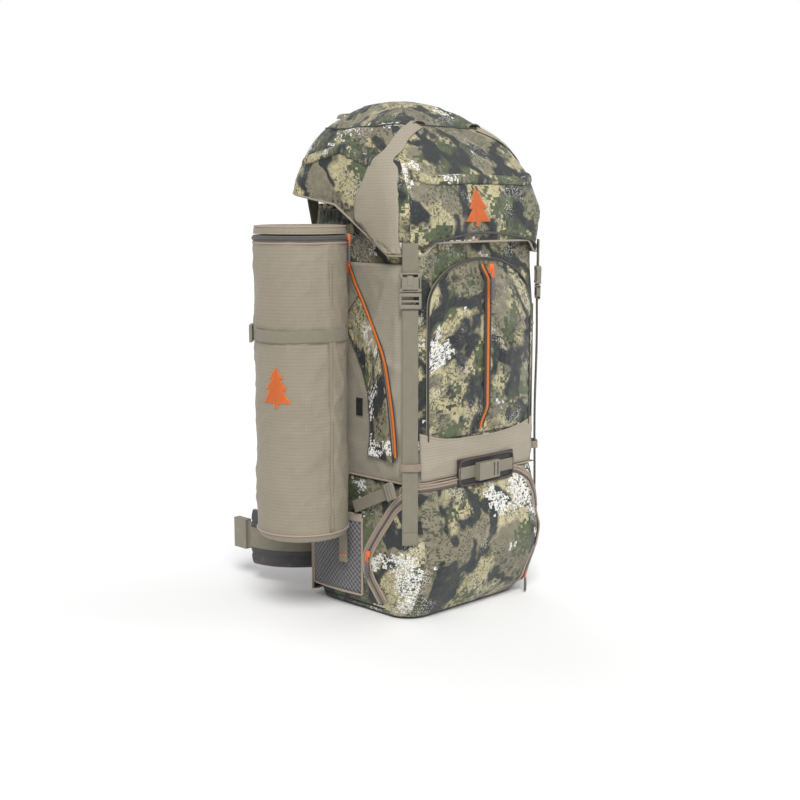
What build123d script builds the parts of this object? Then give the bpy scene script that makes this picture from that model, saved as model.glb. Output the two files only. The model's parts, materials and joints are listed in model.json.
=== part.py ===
from build123d import *
import math
import os

# Hunting backpack, 80 litre class, standing on its base.
# Origin: centre of the base's underside.  +Z up, -Y is the outer face of the pack,
# +Y is the wearer's side, -X is the side that carries the tube case.  Millimetres.

os.makedirs("parts", exist_ok=True)

# ---------------------------------------------------------------- driving dimensions
FABRIC = 3.0            # padded fabric wall
WEB_W = 25.0            # webbing width
WEB_T = 1.5             # webbing thickness
GAP = 0.3               # clearance between neighbouring pieces

BASE_T = 4.0            # base panel thickness
SACK_BACK = 104.0       # inner face of the harness side, y
PANEL_BACK = 124.0      # wearer's face of the back panel, y
BACK_TOP = 550.0        # top of the back panel, z
LOWER_TOP = 222.0       # top of the lower compartment, z
SACK_TOP = 560.0        # top of the main sack, z
COLLAR_TOP = 652.0      # top of the extension collar, z

# levels of the sewn shells: height, half width, front y, back y, corner radius
LOWER_LEVELS = [(4.2, 138, -118, SACK_BACK, 40), (45, 145, -143, SACK_BACK, 50),
                (110, 148, -163, SACK_BACK, 60), (185, 147, -149, SACK_BACK, 50),
                (LOWER_TOP, 147, -138, SACK_BACK, 38)]
SACK_LEVELS = [(LOWER_TOP + 2.6, 147, -137, SACK_BACK, 35), (300, 150, -136, SACK_BACK, 35),
               (450, 152, -136, SACK_BACK, 35), (SACK_TOP, 150, -130, SACK_BACK, 35)]
COLLAR_LEVELS = [(SACK_TOP + 0.3, 143, -118, SACK_BACK, 35),
                 (COLLAR_TOP, 138, -96, SACK_BACK, 35)]
HOOD_LEVELS = [(560, 160, -140, 150, 45), (650, 161, -141, 150, 46), (715, 152, -112, 140, 52),
               (770, 122, -62, 116, 56), (808, 66, -8, 78, 40)]

POCKET_HALF_W = 120.0   # front pocket
POCKET_BOTTOM, POCKET_TOP = 290.0, 568.0
POCKET_ROOT, POCKET_FACE = -138.5, -157.0
FRONT_ZIP = (312.0, 559.0)

CORNER = 13.0           # offset of the hood straps from the corner's diagonal
STRAP_LAYER = 191.0     # anchored layer, distance from the Z axis along the diagonal
STRAP_TAIL = 199.5      # free layer
BUCKLE_N = 200.0        # middle of the hood buckle
BUCKLE_Z = 520.0        # mouth of the hood buckle

TUBE_X, TUBE_Y, TUBE_R = -235.0, 21.0, 70.5
TUBE_BOTTOM, TUBE_TOP = 138.0, 604.0
LID_BOTTOM, LID_TOP = 606.5, 620.0

ZIP_SIDE_X = 154.6                      # inner face of the side zips
# the side zip follows a circle through three points of the side panel: y, z
SIDE_ZIP = [(2.0, 566.0), (-80.0, 415.0), (-106.0, 264.0)]


def circle_through(points):
    """Centre and radius of the circle through three (y, z) points."""
    (ay, az), (by, bz), (cy, cz) = points
    d = 2 * (ay * (bz - cz) + by * (cz - az) + cy * (az - bz))
    a2, b2, c2 = ay**2 + az**2, by**2 + bz**2, cy**2 + cz**2
    y = (a2 * (bz - cz) + b2 * (cz - az) + c2 * (az - bz)) / d
    z = (a2 * (cy - by) + b2 * (ay - cy) + c2 * (by - ay)) / d
    return y, z, math.hypot(ay - y, az - z)


def rounded_section(level, inset=0.0):
    """A rounded rectangle across the pack at one height."""
    z, half_width, front, back, radius = level
    with BuildSketch(Plane((0, (front + back) / 2, z)), mode=Mode.PRIVATE) as section:
        RectangleRounded(2 * (half_width - inset), back - front - 2 * inset,
                         max(radius - inset, 1.0))
    return section.sketch


def skin(levels, inset=0.0, mode=Mode.ADD):
    """A smooth solid through the levels, each section drawn in by inset."""
    loft(sections=[rounded_section(level, inset) for level in levels], mode=mode)


def side_plane(x):
    """Plane across X whose local x is the pack's y and local y is the pack's z."""
    return Plane(origin=(x, 0, 0), x_dir=(0, 1, 0), z_dir=(1, 0, 0))


def corner_plane(height, distance=BUCKLE_N):
    """Plane that faces out of the front left corner: local x across, local y up."""
    k = math.sqrt(0.5)
    origin = (-k * distance - k * CORNER, -k * distance + k * CORNER, height)
    return Plane(origin=origin, x_dir=(k, -k, 0), z_dir=(-k, -k, 0))


def block(plane, width, height, depth, x=0.0, y=0.0, mode=Mode.ADD):
    """A box on a plane: width and height on the plane, depth along its normal."""
    with BuildSketch(plane, mode=Mode.PRIVATE) as outline:
        with Locations((x, y)):
            Rectangle(width, height)
    extrude(outline.sketch, amount=depth, mode=mode)


def band(plane, points, width, depth, mode=Mode.ADD):
    """A ribbon of constant width along a polyline on a plane."""
    with BuildSketch(plane, mode=Mode.PRIVATE) as outline:
        with BuildLine():
            Polyline(*points)
        trace(line_width=width)
    extrude(outline.sketch, amount=depth, mode=mode)


def buckle_socket(plane, width=34.0, length=31.0, depth=10.0):
    """Female half of a side-release buckle, mouth on the plane's x axis, body above it."""
    block(plane.offset(-depth / 2), width, length, depth, y=0.4 + length / 2)
    block(plane.offset(-depth / 2 + 1.5), width - 5, length - 6, depth - 3,
          y=0.4 + (length - 6) / 2, mode=Mode.SUBTRACT)


def buckle_plug(plane, width=34.0, length=25.0, depth=8.0):
    """Male half: a two-bar tri-glide with a guide and two spring prongs."""
    block(plane.offset(-depth / 2), width, length, depth, y=-length / 2)
    for y in (-0.38 * length, -0.78 * length):
        block(plane.offset(-depth / 2), WEB_W + 1.5, 4, depth, y=y, mode=Mode.SUBTRACT)
    block(plane.offset(-1.3), 5, 19, 2.6, y=8.5)
    for x in (-9.5, 9.5):
        block(plane.offset(-1.3), 4, 19, 2.6, x=x, y=8.5)


def finish(piece, label):
    """Names a piece and writes it."""
    piece.part.label = label
    export_step(piece.part, f"parts/{label}.step")


def finish_pair(piece, label):
    """Writes a left-hand piece and its mirror image on the right-hand side."""
    with BuildPart() as opposite:
        mirror(piece.part, about=Plane.YZ)
    finish(piece, label + "_left")
    finish(opposite, label + "_right")


# ---------------------------------------------------------------- bag
with BuildPart() as base_panel:
    with BuildSketch(Plane((0, (-118 + SACK_BACK) / 2, 0))):
        RectangleRounded(276, SACK_BACK + 118, 38)
    extrude(amount=BASE_T)
finish(base_panel, "base_panel")

with BuildPart() as lower_compartment:
    skin(LOWER_LEVELS)
    skin(LOWER_LEVELS, FABRIC, Mode.SUBTRACT)
finish(lower_compartment, "lower_compartment")

with BuildPart() as compartment_divider:
    with BuildSketch(Plane((0, (-137 + SACK_BACK) / 2, LOWER_TOP + GAP))):
        RectangleRounded(290, SACK_BACK + 134, 34)
    extrude(amount=2.0)
finish(compartment_divider, "compartment_divider")

with BuildPart() as main_sack:
    skin(SACK_LEVELS)
    skin(SACK_LEVELS, FABRIC, Mode.SUBTRACT)
finish(main_sack, "main_sack")

with BuildPart() as extension_collar:
    skin(COLLAR_LEVELS)
    skin(COLLAR_LEVELS, 1.6, Mode.SUBTRACT)
finish(extension_collar, "extension_collar")

# cord in the collar's hem, closed by a spring cord lock at the front
CORD_R = 1.5
with BuildPart() as collar_drawcord:
    with BuildSketch(Plane((0, (-96 + SACK_BACK) / 2, COLLAR_TOP - 11))):
        RectangleRounded(276 + 9.5, SACK_BACK + 96 + 13, 38)
        RectangleRounded(276 + 9.5 - 4 * CORD_R, SACK_BACK + 96 + 13 - 4 * CORD_R, 36,
                         mode=Mode.SUBTRACT)
    extrude(amount=2 * CORD_R)
finish(collar_drawcord, "collar_drawcord")

LOCK = Plane((0, -111.5, COLLAR_TOP - 22))
LOCK_R, LOCK_BORE = 7.5, 5.2
with BuildPart() as cord_lock_body:
    with BuildSketch(LOCK):
        Circle(LOCK_R)
    extrude(amount=20)
    with BuildSketch(LOCK.offset(2)):
        Circle(LOCK_BORE)
    extrude(amount=18, mode=Mode.SUBTRACT)
finish(cord_lock_body, "cord_lock_body")

with BuildPart() as cord_lock_button:
    with BuildSketch(LOCK.offset(11)):
        Circle(LOCK_BORE - 0.3)
    extrude(amount=14)
finish(cord_lock_button, "cord_lock_button")

with BuildPart() as cord_lock_spring:
    with BuildLine(LOCK.offset(2.7)):
        coil = Helix(pitch=1.9, height=7.6, radius=3.9)
    with BuildSketch(Plane(origin=coil @ 0, z_dir=coil % 0)):
        Circle(0.45)
    sweep(is_frenet=True)
finish(cord_lock_spring, "cord_lock_spring")

# ---------------------------------------------------------------- front pocket
def pocket_outline(y, inset):
    """The pocket's outline on the front: square below, arched above."""
    half, low, high = POCKET_HALF_W - inset, POCKET_BOTTOM + inset, POCKET_TOP - inset
    shoulder = POCKET_TOP - 75
    with BuildSketch(Plane(origin=(0, y, 0), x_dir=(1, 0, 0), z_dir=(0, -1, 0)),
                     mode=Mode.PRIVATE) as outline:
        with BuildLine():
            ThreePointArc((-half, shoulder), (0, high), (half, shoulder))
            Line((half, shoulder), (half, low))
            Line((half, low), (-half, low))
            Line((-half, low), (-half, shoulder))
        make_face()
        fillet(outline.vertices(), 26)
    return outline.sketch


with BuildPart() as front_pocket:
    loft(sections=[pocket_outline(POCKET_ROOT, 0), pocket_outline(-150, 3),
                   pocket_outline(POCKET_FACE, 16)])
    loft(sections=[pocket_outline(POCKET_ROOT, 2), pocket_outline(-148.5, 5),
                   pocket_outline(POCKET_FACE + 2, 18)], mode=Mode.SUBTRACT)
finish(front_pocket, "front_pocket")

FRONT = Plane(origin=(0, POCKET_FACE, 0), x_dir=(1, 0, 0), z_dir=(0, -1, 0))
zip_length = FRONT_ZIP[1] - FRONT_ZIP[0]
with BuildPart() as front_zip:
    block(FRONT.offset(0.2), 9, zip_length, 1.8, y=sum(FRONT_ZIP) / 2)
finish(front_zip, "front_zip")

with BuildPart() as front_zip_slider:
    block(FRONT.offset(2.3), 9, 14, 3.5, y=FRONT_ZIP[1] - 7)
finish(front_zip_slider, "front_zip_slider")

# cord loop with a moulded grip, hung on the slider
with BuildPart() as front_zip_pull:
    block(FRONT.offset(6.2), 5, 16, 2.6, y=FRONT_ZIP[1] - 13)
    block(FRONT.offset(6.2), 7, 34, 4, y=FRONT_ZIP[1] - 38)
finish(front_zip_pull, "front_zip_pull")

# ---------------------------------------------------------------- front strap patch
YOKE = Plane(origin=(0, -139.6, 0), x_dir=(1, 0, 0), z_dir=(0, -1, 0))
with BuildPart() as front_yoke:
    block(YOKE, 226, 50, 2.0, y=260)
finish(front_yoke, "front_yoke")

PATCH_X, PATCH_Z = 8.0, 231.0
PATCH = Plane(origin=(PATCH_X, -145.5, PATCH_Z), x_dir=(1, 0, 0), z_dir=(0, -1, 0))
with BuildPart() as front_patch:
    with BuildSketch(PATCH):
        RectangleRounded(132, 46, 9)
    extrude(amount=3)
finish(front_patch, "front_patch")

PATCH_MOUTH = Plane(origin=(PATCH_X - 2, -156.0, PATCH_Z), x_dir=(0, 0, 1), z_dir=(0, -1, 0))
with BuildPart() as patch_strap:
    block(PATCH.offset(3.2), 132, WEB_W - 5, WEB_T)
finish(patch_strap, "patch_strap")

with BuildPart() as patch_buckle_female:
    buckle_socket(PATCH_MOUTH, width=28, length=27)
finish(patch_buckle_female, "patch_buckle_female")

with BuildPart() as patch_buckle_male:
    with BuildSketch(PATCH_MOUTH.offset(-4)):
        with Locations((0, -11)):
            Rectangle(28, 22)
        with Locations((0, -8.5), (0, -17)):
            Rectangle(WEB_W - 4, 3.5, mode=Mode.SUBTRACT)
    extrude(amount=8)
    for offset_x in (-7.5, 0, 7.5):
        block(PATCH_MOUTH.offset(-1.3), 3.5, 17, 2.6, x=offset_x, y=7.5)
finish(patch_buckle_male, "patch_buckle_male")

# ---------------------------------------------------------------- side panels and side zips
with BuildPart() as side_panel:
    with BuildSketch(side_plane(-ZIP_SIDE_X + 0.2)):
        with BuildLine():
            Polyline((10, 470), (-24, 510), (-66, 440), (-88, 350), (-100, 256),
                     (-44, 262), (-49, 320), (-42, 368), (10, 470))
        make_face()
    extrude(amount=1.6)
finish_pair(side_panel, "side_panel")

zip_y, zip_z, zip_r = circle_through(SIDE_ZIP)
with BuildPart() as side_zip:
    with BuildSketch(side_plane(-ZIP_SIDE_X)):
        with BuildLine():
            ThreePointArc(*SIDE_ZIP)
        trace(line_width=8)
    extrude(amount=-2.0)
finish_pair(side_zip, "side_zip")


def on_side_zip(angle):
    """Plane on the side zip, local y along the zip, at an angle from its upper end."""
    (ay, az) = SIDE_ZIP[0]
    start = math.atan2(az - zip_z, ay - zip_y)
    a = start + math.radians(angle)
    origin = (-ZIP_SIDE_X, zip_y + zip_r * math.cos(a), zip_z + zip_r * math.sin(a))
    along = (0, -math.sin(a), math.cos(a))
    return Plane(origin=origin, x_dir=along, z_dir=(-1, 0, 0))


with BuildPart() as side_slider:
    slider_plane = on_side_zip(1.2)
    block(slider_plane.offset(2.3), 14, 9, 3.0)
    block(slider_plane.offset(5.3), 9, 5, 1.0)
    block(Plane(origin=slider_plane.origin, x_dir=(0, 1, 0), z_dir=(-1, 0, 0)).offset(6.2),
          6, 42, 2.6, y=20)
finish_pair(side_slider, "side_slider")

# ---------------------------------------------------------------- lower compartment zip
ARCH_SIDE = [(-66, 22), (-36, 89), (-82, 163), (-124, 203), (-137, 212), (-175, 212)]
ARCH_FRONT = [(40, 212), (92, 212), (122, 170), (127, 100), (118, 22)]
with BuildPart() as arch_mask:
    band(side_plane(-170), ARCH_SIDE, 9, 225)
    band(Plane(origin=(0, -100, 0), x_dir=(1, 0, 0), z_dir=(0, -1, 0)), ARCH_FRONT, 9, 90)
with BuildPart() as lower_zip:
    skin(LOWER_LEVELS, -2.2)
    skin(LOWER_LEVELS, -0.3, Mode.SUBTRACT)
    add(arch_mask.part, mode=Mode.INTERSECT)
finish(lower_zip, "lower_zip")

SLIDE_DIR = (0, -46, 74)
with BuildPart() as lower_slider_left:
    left_zip = Plane(origin=(-152, -42, 99), x_dir=SLIDE_DIR, z_dir=(-1, 0, 0))
    block(left_zip, 14, 9, 3.5)
    block(Plane(origin=(-156.5, -38, 84), x_dir=(0, 1, 0), z_dir=(-1, 0, 0)), 7, 44, 3)
    block(Plane(origin=(-155, -42, 99), x_dir=(0, 1, 0), z_dir=(-1, 0, 0)), 6, 8, 4.5)
finish(lower_slider_left, "lower_slider_left")

with BuildPart() as lower_slider_right:
    right_zip = Plane(origin=(118, -138, 34), x_dir=(1, 0, 0), z_dir=(0.42, -0.9, 0))
    block(right_zip, 9, 14, 3.5)
    block(right_zip.offset(3), 6, 44, 3, y=-10)
finish(lower_slider_right, "lower_slider_right")

# ---------------------------------------------------------------- mesh pockets, side straps
MESH_BOTTOM, MESH_TOP = 28.0, 156.0
with BuildPart() as mesh_pocket:
    block(side_plane(-149.0), 120, MESH_TOP - MESH_BOTTOM, -13, x=34,
          y=(MESH_TOP + MESH_BOTTOM) / 2)
    block(side_plane(-149.0), 117, MESH_TOP - MESH_BOTTOM, -11.5, x=34,
          y=(MESH_TOP + MESH_BOTTOM) / 2 + 1.5, mode=Mode.SUBTRACT)
finish_pair(mesh_pocket, "mesh_pocket")

with BuildPart() as compression_strap:
    band(side_plane(-157.6), [(-12, 172), (-106, 215)], 20, 1.6)
    block(Plane(origin=(-157, -98, 211.5), x_dir=(0, 94, -43), z_dir=(-1, 0, 0)), 22, 28, 6)
finish_pair(compression_strap, "compression_strap")

# ---------------------------------------------------------------- hood straps and their buckles
KEEPER_Z, TAIL_LOW = 252.0, 128.0
with BuildPart() as hood_strap:
    block(corner_plane(0, STRAP_LAYER - WEB_T / 2), WEB_W, 244, WEB_T, y=366)
    keeper = corner_plane(KEEPER_Z, STRAP_LAYER)
    block(keeper, 34, 12, 14)
    block(keeper.offset(2.5), 29, 12, 9.5, mode=Mode.SUBTRACT)
finish_pair(hood_strap, "hood_strap")

with BuildPart() as hood_buckle_male:
    buckle_plug(corner_plane(BUCKLE_Z))
    block(corner_plane(0, STRAP_TAIL - WEB_T / 2), WEB_W, BUCKLE_Z - 24 - TAIL_LOW, WEB_T,
          y=(BUCKLE_Z - 24 + TAIL_LOW) / 2)
finish_pair(hood_buckle_male, "hood_buckle_male")

with BuildPart() as hood_buckle_female:
    buckle_socket(corner_plane(BUCKLE_Z))
    block(corner_plane(BUCKLE_Z, 199.0), WEB_W, 40, WEB_T, y=49)
finish_pair(hood_buckle_female, "hood_buckle_female")

# ---------------------------------------------------------------- hood
with BuildPart() as hood_shell:
    skin(HOOD_LEVELS)
    loft(sections=[rounded_section((z - (3 if z > 800 else 0), *rest), FABRIC)
                   for z, *rest in HOOD_LEVELS], mode=Mode.SUBTRACT)
    with BuildSketch(side_plane(-200)):
        with BuildLine():
            Polyline((200, 400), (200, 668), (17, 650), (-100, 574), (-200, 574),
                     (-200, 400), (200, 400))
        make_face()
    extrude(amount=400, mode=Mode.SUBTRACT)
    block(Plane(origin=(0, -100, 0), x_dir=(1, 0, 0), z_dir=(0, -1, 0)), 228, 40, 60,
          y=573, mode=Mode.SUBTRACT)
finish(hood_shell, "hood_shell")

LINING_Z = 676.0
with BuildPart() as hood_lining:
    with BuildSketch(Plane((0, 5, LINING_Z))):
        RectangleRounded(296, 252, 40)
    extrude(amount=2)
finish(hood_lining, "hood_lining")

# four flat loops on the crown of the hood, each lying on its slope
with BuildPart() as gear_loops:
    for x in (-64, 64):
        for y, z, slope in ((-60, 775.5, -0.88), (100, 793, 0.78)):
            loop_plane = Plane(origin=(x, y, z), x_dir=(1, 0, 0), z_dir=(0, slope, 1))
            block(loop_plane, 30, 18, 3)
            block(loop_plane, 24, 10, 3, mode=Mode.SUBTRACT)
finish(gear_loops, "gear_loops")

with BuildPart() as rear_lid_straps:
    for x in (-92, 92):
        block(Plane(origin=(x, 154.5, 0), x_dir=(-1, 0, 0), z_dir=(0, 1, 0)), 20, 60, WEB_T,
              y=690)
        with BuildSketch(side_plane(x - 10)):
            with BuildLine():
                Polyline((126.5, 558), (154.5, 661), (156, 661), (128, 558), (126.5, 558))
            make_face()
        extrude(amount=20)
finish(rear_lid_straps, "rear_lid_straps")

# ---------------------------------------------------------------- frame and harness
with BuildPart() as frame_sheet:
    block(Plane(origin=(0, SACK_BACK + 0.3, 0), x_dir=(1, 0, 0), z_dir=(0, -1, 0)), 256,
          522, -1.8, y=279)
finish(frame_sheet, "frame_sheet")

with BuildPart() as frame_stays:
    for x in (-62, 62):
        block(Plane(origin=(x, SACK_BACK + 2.5, 0), x_dir=(1, 0, 0), z_dir=(0, -1, 0)), 22,
              512, -3.0, y=279)
finish(frame_stays, "frame_stays")

with BuildPart() as back_panel:
    with BuildSketch(Plane(origin=(0, SACK_BACK + 6, 0), x_dir=(1, 0, 0), z_dir=(0, -1, 0))):
        with Locations((0, (BACK_TOP + 6) / 2)):
            RectangleRounded(276, BACK_TOP - 6, 34)
    extrude(amount=-(PANEL_BACK - SACK_BACK - 6))
finish(back_panel, "back_panel")

BACK = Plane(origin=(0, PANEL_BACK + GAP, 0), x_dir=(-1, 0, 0), z_dir=(0, 1, 0))
with BuildPart() as lumbar_pad:
    with BuildSketch(BACK):
        with Locations((0, 86)):
            RectangleRounded(186, 130, 24)
    extrude(amount=18)
    with BuildSketch(Plane((0, 0, 0))):
        with Locations((-100, 134), (100, 134)):
            Rectangle(24, 40)
    extrude(amount=170, mode=Mode.SUBTRACT)
finish(lumbar_pad, "lumbar_pad")

with BuildPart() as shoulder_yoke:
    with BuildSketch(BACK):
        with BuildLine():
            Polyline((-74, 498), (74, 498), (40, 400), (-40, 400), (-74, 498))
        make_face()
        fillet(vertices(), 10)
    extrude(amount=5)
finish(shoulder_yoke, "shoulder_yoke")

with BuildPart() as shoulder_strap:
    with BuildSketch(side_plane(-112)):
        with BuildLine():
            ThreePointArc((131.5, 505), (206, 345), (142, 196))
            Line((142, 196), (132, 204))
            ThreePointArc((132, 204), (193, 345), (131.5, 490))
            Line((131.5, 490), (131.5, 505))
        make_face()
    extrude(amount=62)
    with BuildSketch(side_plane(-93.5)):
        with BuildLine():
            Polyline((139.5, 206), (135, 157), (133.5, 157), (137.5, 206), (139.5, 206))
        make_face()
    extrude(amount=WEB_W)
finish_pair(shoulder_strap, "shoulder_strap")

# the two halves of the sternum strap, each on a rail of its shoulder strap
STERNUM = Plane(origin=(-81, 208.0, 372), x_dir=(1, 0, 0), z_dir=(0, 1, 0))
with BuildPart() as sternum_strap_left:
    block(STERNUM, 40, 12, 3)
    block(STERNUM.offset(0.5), 40, 20, WEB_T, x=38)
    block(STERNUM.offset(-2), 24, 24, 8, x=66)
finish(sternum_strap_left, "sternum_strap_left")

STERNUM_R = Plane(origin=(81, 208.0, 372), x_dir=(-1, 0, 0), z_dir=(0, 1, 0))
with BuildPart() as sternum_strap_right:
    block(STERNUM_R, 40, 12, 3)
    block(STERNUM_R.offset(0.5), 40, 20, WEB_T, x=38)
    block(STERNUM_R.offset(-2), 16, 24, 8, x=60)
finish(sternum_strap_right, "sternum_strap_right")

# hip belt wings wrap from the lumbar pad towards the wearer's front
WING_LOW, WING_H = 34.0, 98.0
with BuildPart() as hip_wing:
    with BuildSketch(Plane((0, 0, WING_LOW))):
        with BuildLine():
            ThreePointArc((-104, 137), (-147, 176), (-163, 228))
            Line((-163, 228), (-175, 226))
            ThreePointArc((-175, 226), (-158, 170), (-110, 130))
            Line((-110, 130), (-104, 137))
        make_face()
    extrude(amount=WING_H)
finish_pair(hip_wing, "hip_wing")

HIP = Plane(origin=(-166, 0, 83), x_dir=(0, 1, 0), z_dir=(-1, 0, 0))
with BuildPart() as hip_buckle_female:
    block(HIP, 18, 48, 2.0, x=238)
    block(HIP.offset(-5), 32, 52, 12, x=262)
    block(HIP.offset(-2.5), 24, 42, 7, x=266, mode=Mode.SUBTRACT)
finish(hip_buckle_female, "hip_buckle_female")

HIP_R = Plane(origin=(166, 0, 83), x_dir=(0, 1, 0), z_dir=(1, 0, 0))
with BuildPart() as hip_buckle_male:
    block(HIP_R, 18, 48, 2.0, x=238)
    block(HIP_R.offset(-4), 16, 52, 10, x=254)
    for y in (-16, 0, 16):
        block(HIP_R.offset(-1.5), 24, 6, 4, x=273, y=y)
finish(hip_buckle_male, "hip_buckle_male")

with BuildPart() as haul_loop:
    with BuildSketch(BACK.offset(2.2)):
        with Locations((0, 524)):
            RectangleRounded(66, 42, 8)
            RectangleRounded(50, 26, 6, mode=Mode.SUBTRACT)
    extrude(amount=2.5)
finish(haul_loop, "haul_loop")

# ---------------------------------------------------------------- tube case
TUBE = Plane((TUBE_X, TUBE_Y, 0))
with BuildPart() as tube_shell:
    with BuildSketch(TUBE.offset(TUBE_BOTTOM)):
        Circle(TUBE_R)
    extrude(amount=TUBE_TOP - TUBE_BOTTOM)
    fillet(tube_shell.edges().group_by(Axis.Z)[0], 11)
    offset(amount=-FABRIC, openings=tube_shell.faces().sort_by(Axis.Z)[-1])
finish(tube_shell, "tube_shell")

with BuildPart() as tube_lid:
    with BuildSketch(TUBE.offset(LID_BOTTOM)):
        Circle(TUBE_R)
    extrude(amount=LID_TOP - LID_BOTTOM)
    fillet(tube_lid.edges().group_by(Axis.Z)[-1], 4)
finish(tube_lid, "tube_lid")

with BuildPart() as tube_zip:
    with BuildSketch(TUBE.offset(TUBE_TOP - 7)):
        Circle(TUBE_R + 2.0)
        Circle(TUBE_R + 0.2, mode=Mode.SUBTRACT)
    extrude(amount=7)
finish(tube_zip, "tube_zip")

SLIDER_AT = math.radians(-45)       # angle of the tube's slider at rest
SLIDER_GAP = 2.4                    # slider's face outside the tube's wall
slider_out = (math.cos(SLIDER_AT), math.sin(SLIDER_AT), 0)
slider_origin = (TUBE_X + (TUBE_R + SLIDER_GAP) * slider_out[0],
                 TUBE_Y + (TUBE_R + SLIDER_GAP) * slider_out[1], 604)
with BuildPart() as tube_slider:
    tube_face = Plane(origin=slider_origin, x_dir=(-slider_out[1], slider_out[0], 0),
                      z_dir=slider_out)
    block(tube_face, 14, 9, 3.5)
    block(tube_face.offset(3), 6, 46, 3, y=-20)
finish(tube_slider, "tube_slider")

TUBE_STRAP_Z = 455.0                # height of the strap round the tube
TUBE_STRAP_LOW = 190.0              # height of the lower strap's short connector
TUBE_STRAP_W = 20.0
STRAP_SIDE_X = -158.5               # where both connectors meet the pack's side
with BuildPart() as tube_straps:
    with BuildSketch(TUBE.offset(TUBE_STRAP_Z - TUBE_STRAP_W / 2)):
        Circle(TUBE_R + 2.0)
        Circle(TUBE_R + 0.3, mode=Mode.SUBTRACT)
    extrude(amount=TUBE_STRAP_W)
    block(Plane((STRAP_SIDE_X, TUBE_Y + 4, TUBE_STRAP_Z)), 11, TUBE_STRAP_W, 2)
    block(Plane((TUBE_X - 52, TUBE_Y + 52, TUBE_STRAP_Z), x_dir=(0.707, 0.707, 0),
                z_dir=(-0.707, 0.707, 0)), 30, 28, 6)
    block(Plane((STRAP_SIDE_X - 0.5, TUBE_Y + 4, TUBE_STRAP_LOW)), 9.5, 22, 2)
finish(tube_straps, "tube_straps")
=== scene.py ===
import json
import math
import bpy
import bmesh
from functools import partialmethod
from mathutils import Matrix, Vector, noise
from mathutils.bvhtree import BVHTree

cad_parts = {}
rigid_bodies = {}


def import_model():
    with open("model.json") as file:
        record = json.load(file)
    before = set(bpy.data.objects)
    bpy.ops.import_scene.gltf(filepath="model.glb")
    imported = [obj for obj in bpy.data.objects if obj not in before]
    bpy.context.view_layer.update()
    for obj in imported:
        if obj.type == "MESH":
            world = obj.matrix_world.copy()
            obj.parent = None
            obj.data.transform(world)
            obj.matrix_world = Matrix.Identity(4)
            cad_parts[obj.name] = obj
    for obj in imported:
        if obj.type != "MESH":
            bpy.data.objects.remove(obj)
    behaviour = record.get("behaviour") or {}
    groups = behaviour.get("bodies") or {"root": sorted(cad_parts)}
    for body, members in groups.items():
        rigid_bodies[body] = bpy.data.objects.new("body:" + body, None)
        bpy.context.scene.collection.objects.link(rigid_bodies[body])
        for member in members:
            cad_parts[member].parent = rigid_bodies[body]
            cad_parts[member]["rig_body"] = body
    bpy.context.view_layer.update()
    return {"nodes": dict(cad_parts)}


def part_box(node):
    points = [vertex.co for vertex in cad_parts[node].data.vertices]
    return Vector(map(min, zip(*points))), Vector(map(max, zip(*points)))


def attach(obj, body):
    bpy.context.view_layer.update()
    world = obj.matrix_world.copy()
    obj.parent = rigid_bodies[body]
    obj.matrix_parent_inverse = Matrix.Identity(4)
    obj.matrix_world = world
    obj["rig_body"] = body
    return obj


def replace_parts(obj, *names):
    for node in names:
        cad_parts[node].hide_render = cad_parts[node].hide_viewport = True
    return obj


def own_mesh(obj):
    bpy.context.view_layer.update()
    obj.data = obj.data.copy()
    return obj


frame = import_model()

MM = 0.001
WEB_25 = 24.5 * MM       # webbing of 25 mm and 20 mm nominal width, shown a little narrower
WEB_20 = 19.5 * MM

# ------------------------------------------------------------------ the pack's sections
# height, half width, front y, back y, corner radius: the levels of the sewn CAD shells
LOWER = [(.0042, .138, -.118, .104, .040), (.045, .145, -.143, .104, .050),
         (.110, .148, -.163, .104, .060), (.185, .147, -.149, .104, .050),
         (.222, .147, -.138, .104, .038)]
SACK = [(.222, .147, -.137, .104, .035), (.300, .150, -.136, .104, .035),
        (.450, .152, -.136, .104, .035), (.560, .150, -.130, .104, .035)]
COLLAR = [(.560, .143, -.118, .104, .035), (.652, .138, -.096, .104, .035)]
HOOD = [(.560, .160, -.140, .150, .045), (.650, .161, -.141, .150, .046),
        (.715, .152, -.112, .140, .052), (.770, .122, -.062, .116, .056),
        (.808, .066, -.008, .078, .040)]
HOOD_TOP = HOOD[-1][0]
SEED_LIFT = 0.37         # a cloth's seed moves its print up this much as it moves it along


def hermite(levels, z):
    """The section at a height: a smooth curve through the levels."""
    zs = [level[0] for level in levels]
    if z <= zs[0]:
        return levels[0][1:]
    if z >= zs[-1]:
        return levels[-1][1:]
    i = max(k for k in range(len(zs) - 1) if zs[k] <= z)
    span = zs[i + 1] - zs[i]
    t = (z - zs[i]) / span
    out = []
    for c in range(1, 5):
        def slope(k):
            lo, hi = max(k - 1, 0), min(k + 1, len(zs) - 1)
            return (levels[hi][c] - levels[lo][c]) / (zs[hi] - zs[lo])
        a, b = levels[i][c], levels[i + 1][c]
        m0, m1 = slope(i) * span, slope(i + 1) * span
        out.append((2 * t**3 - 3 * t**2 + 1) * a + (t**3 - 2 * t**2 + t) * m0
                   + (-2 * t**3 + 3 * t**2) * b + (t**3 - t**2) * m1)
    return tuple(out)


def perimeter(section):
    """Length round a section with rounded corners."""
    half, front, back, r = section
    return 2 * (2 * half - 2 * r) + 2 * (back - front - 2 * r) + 2 * math.pi * r


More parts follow.
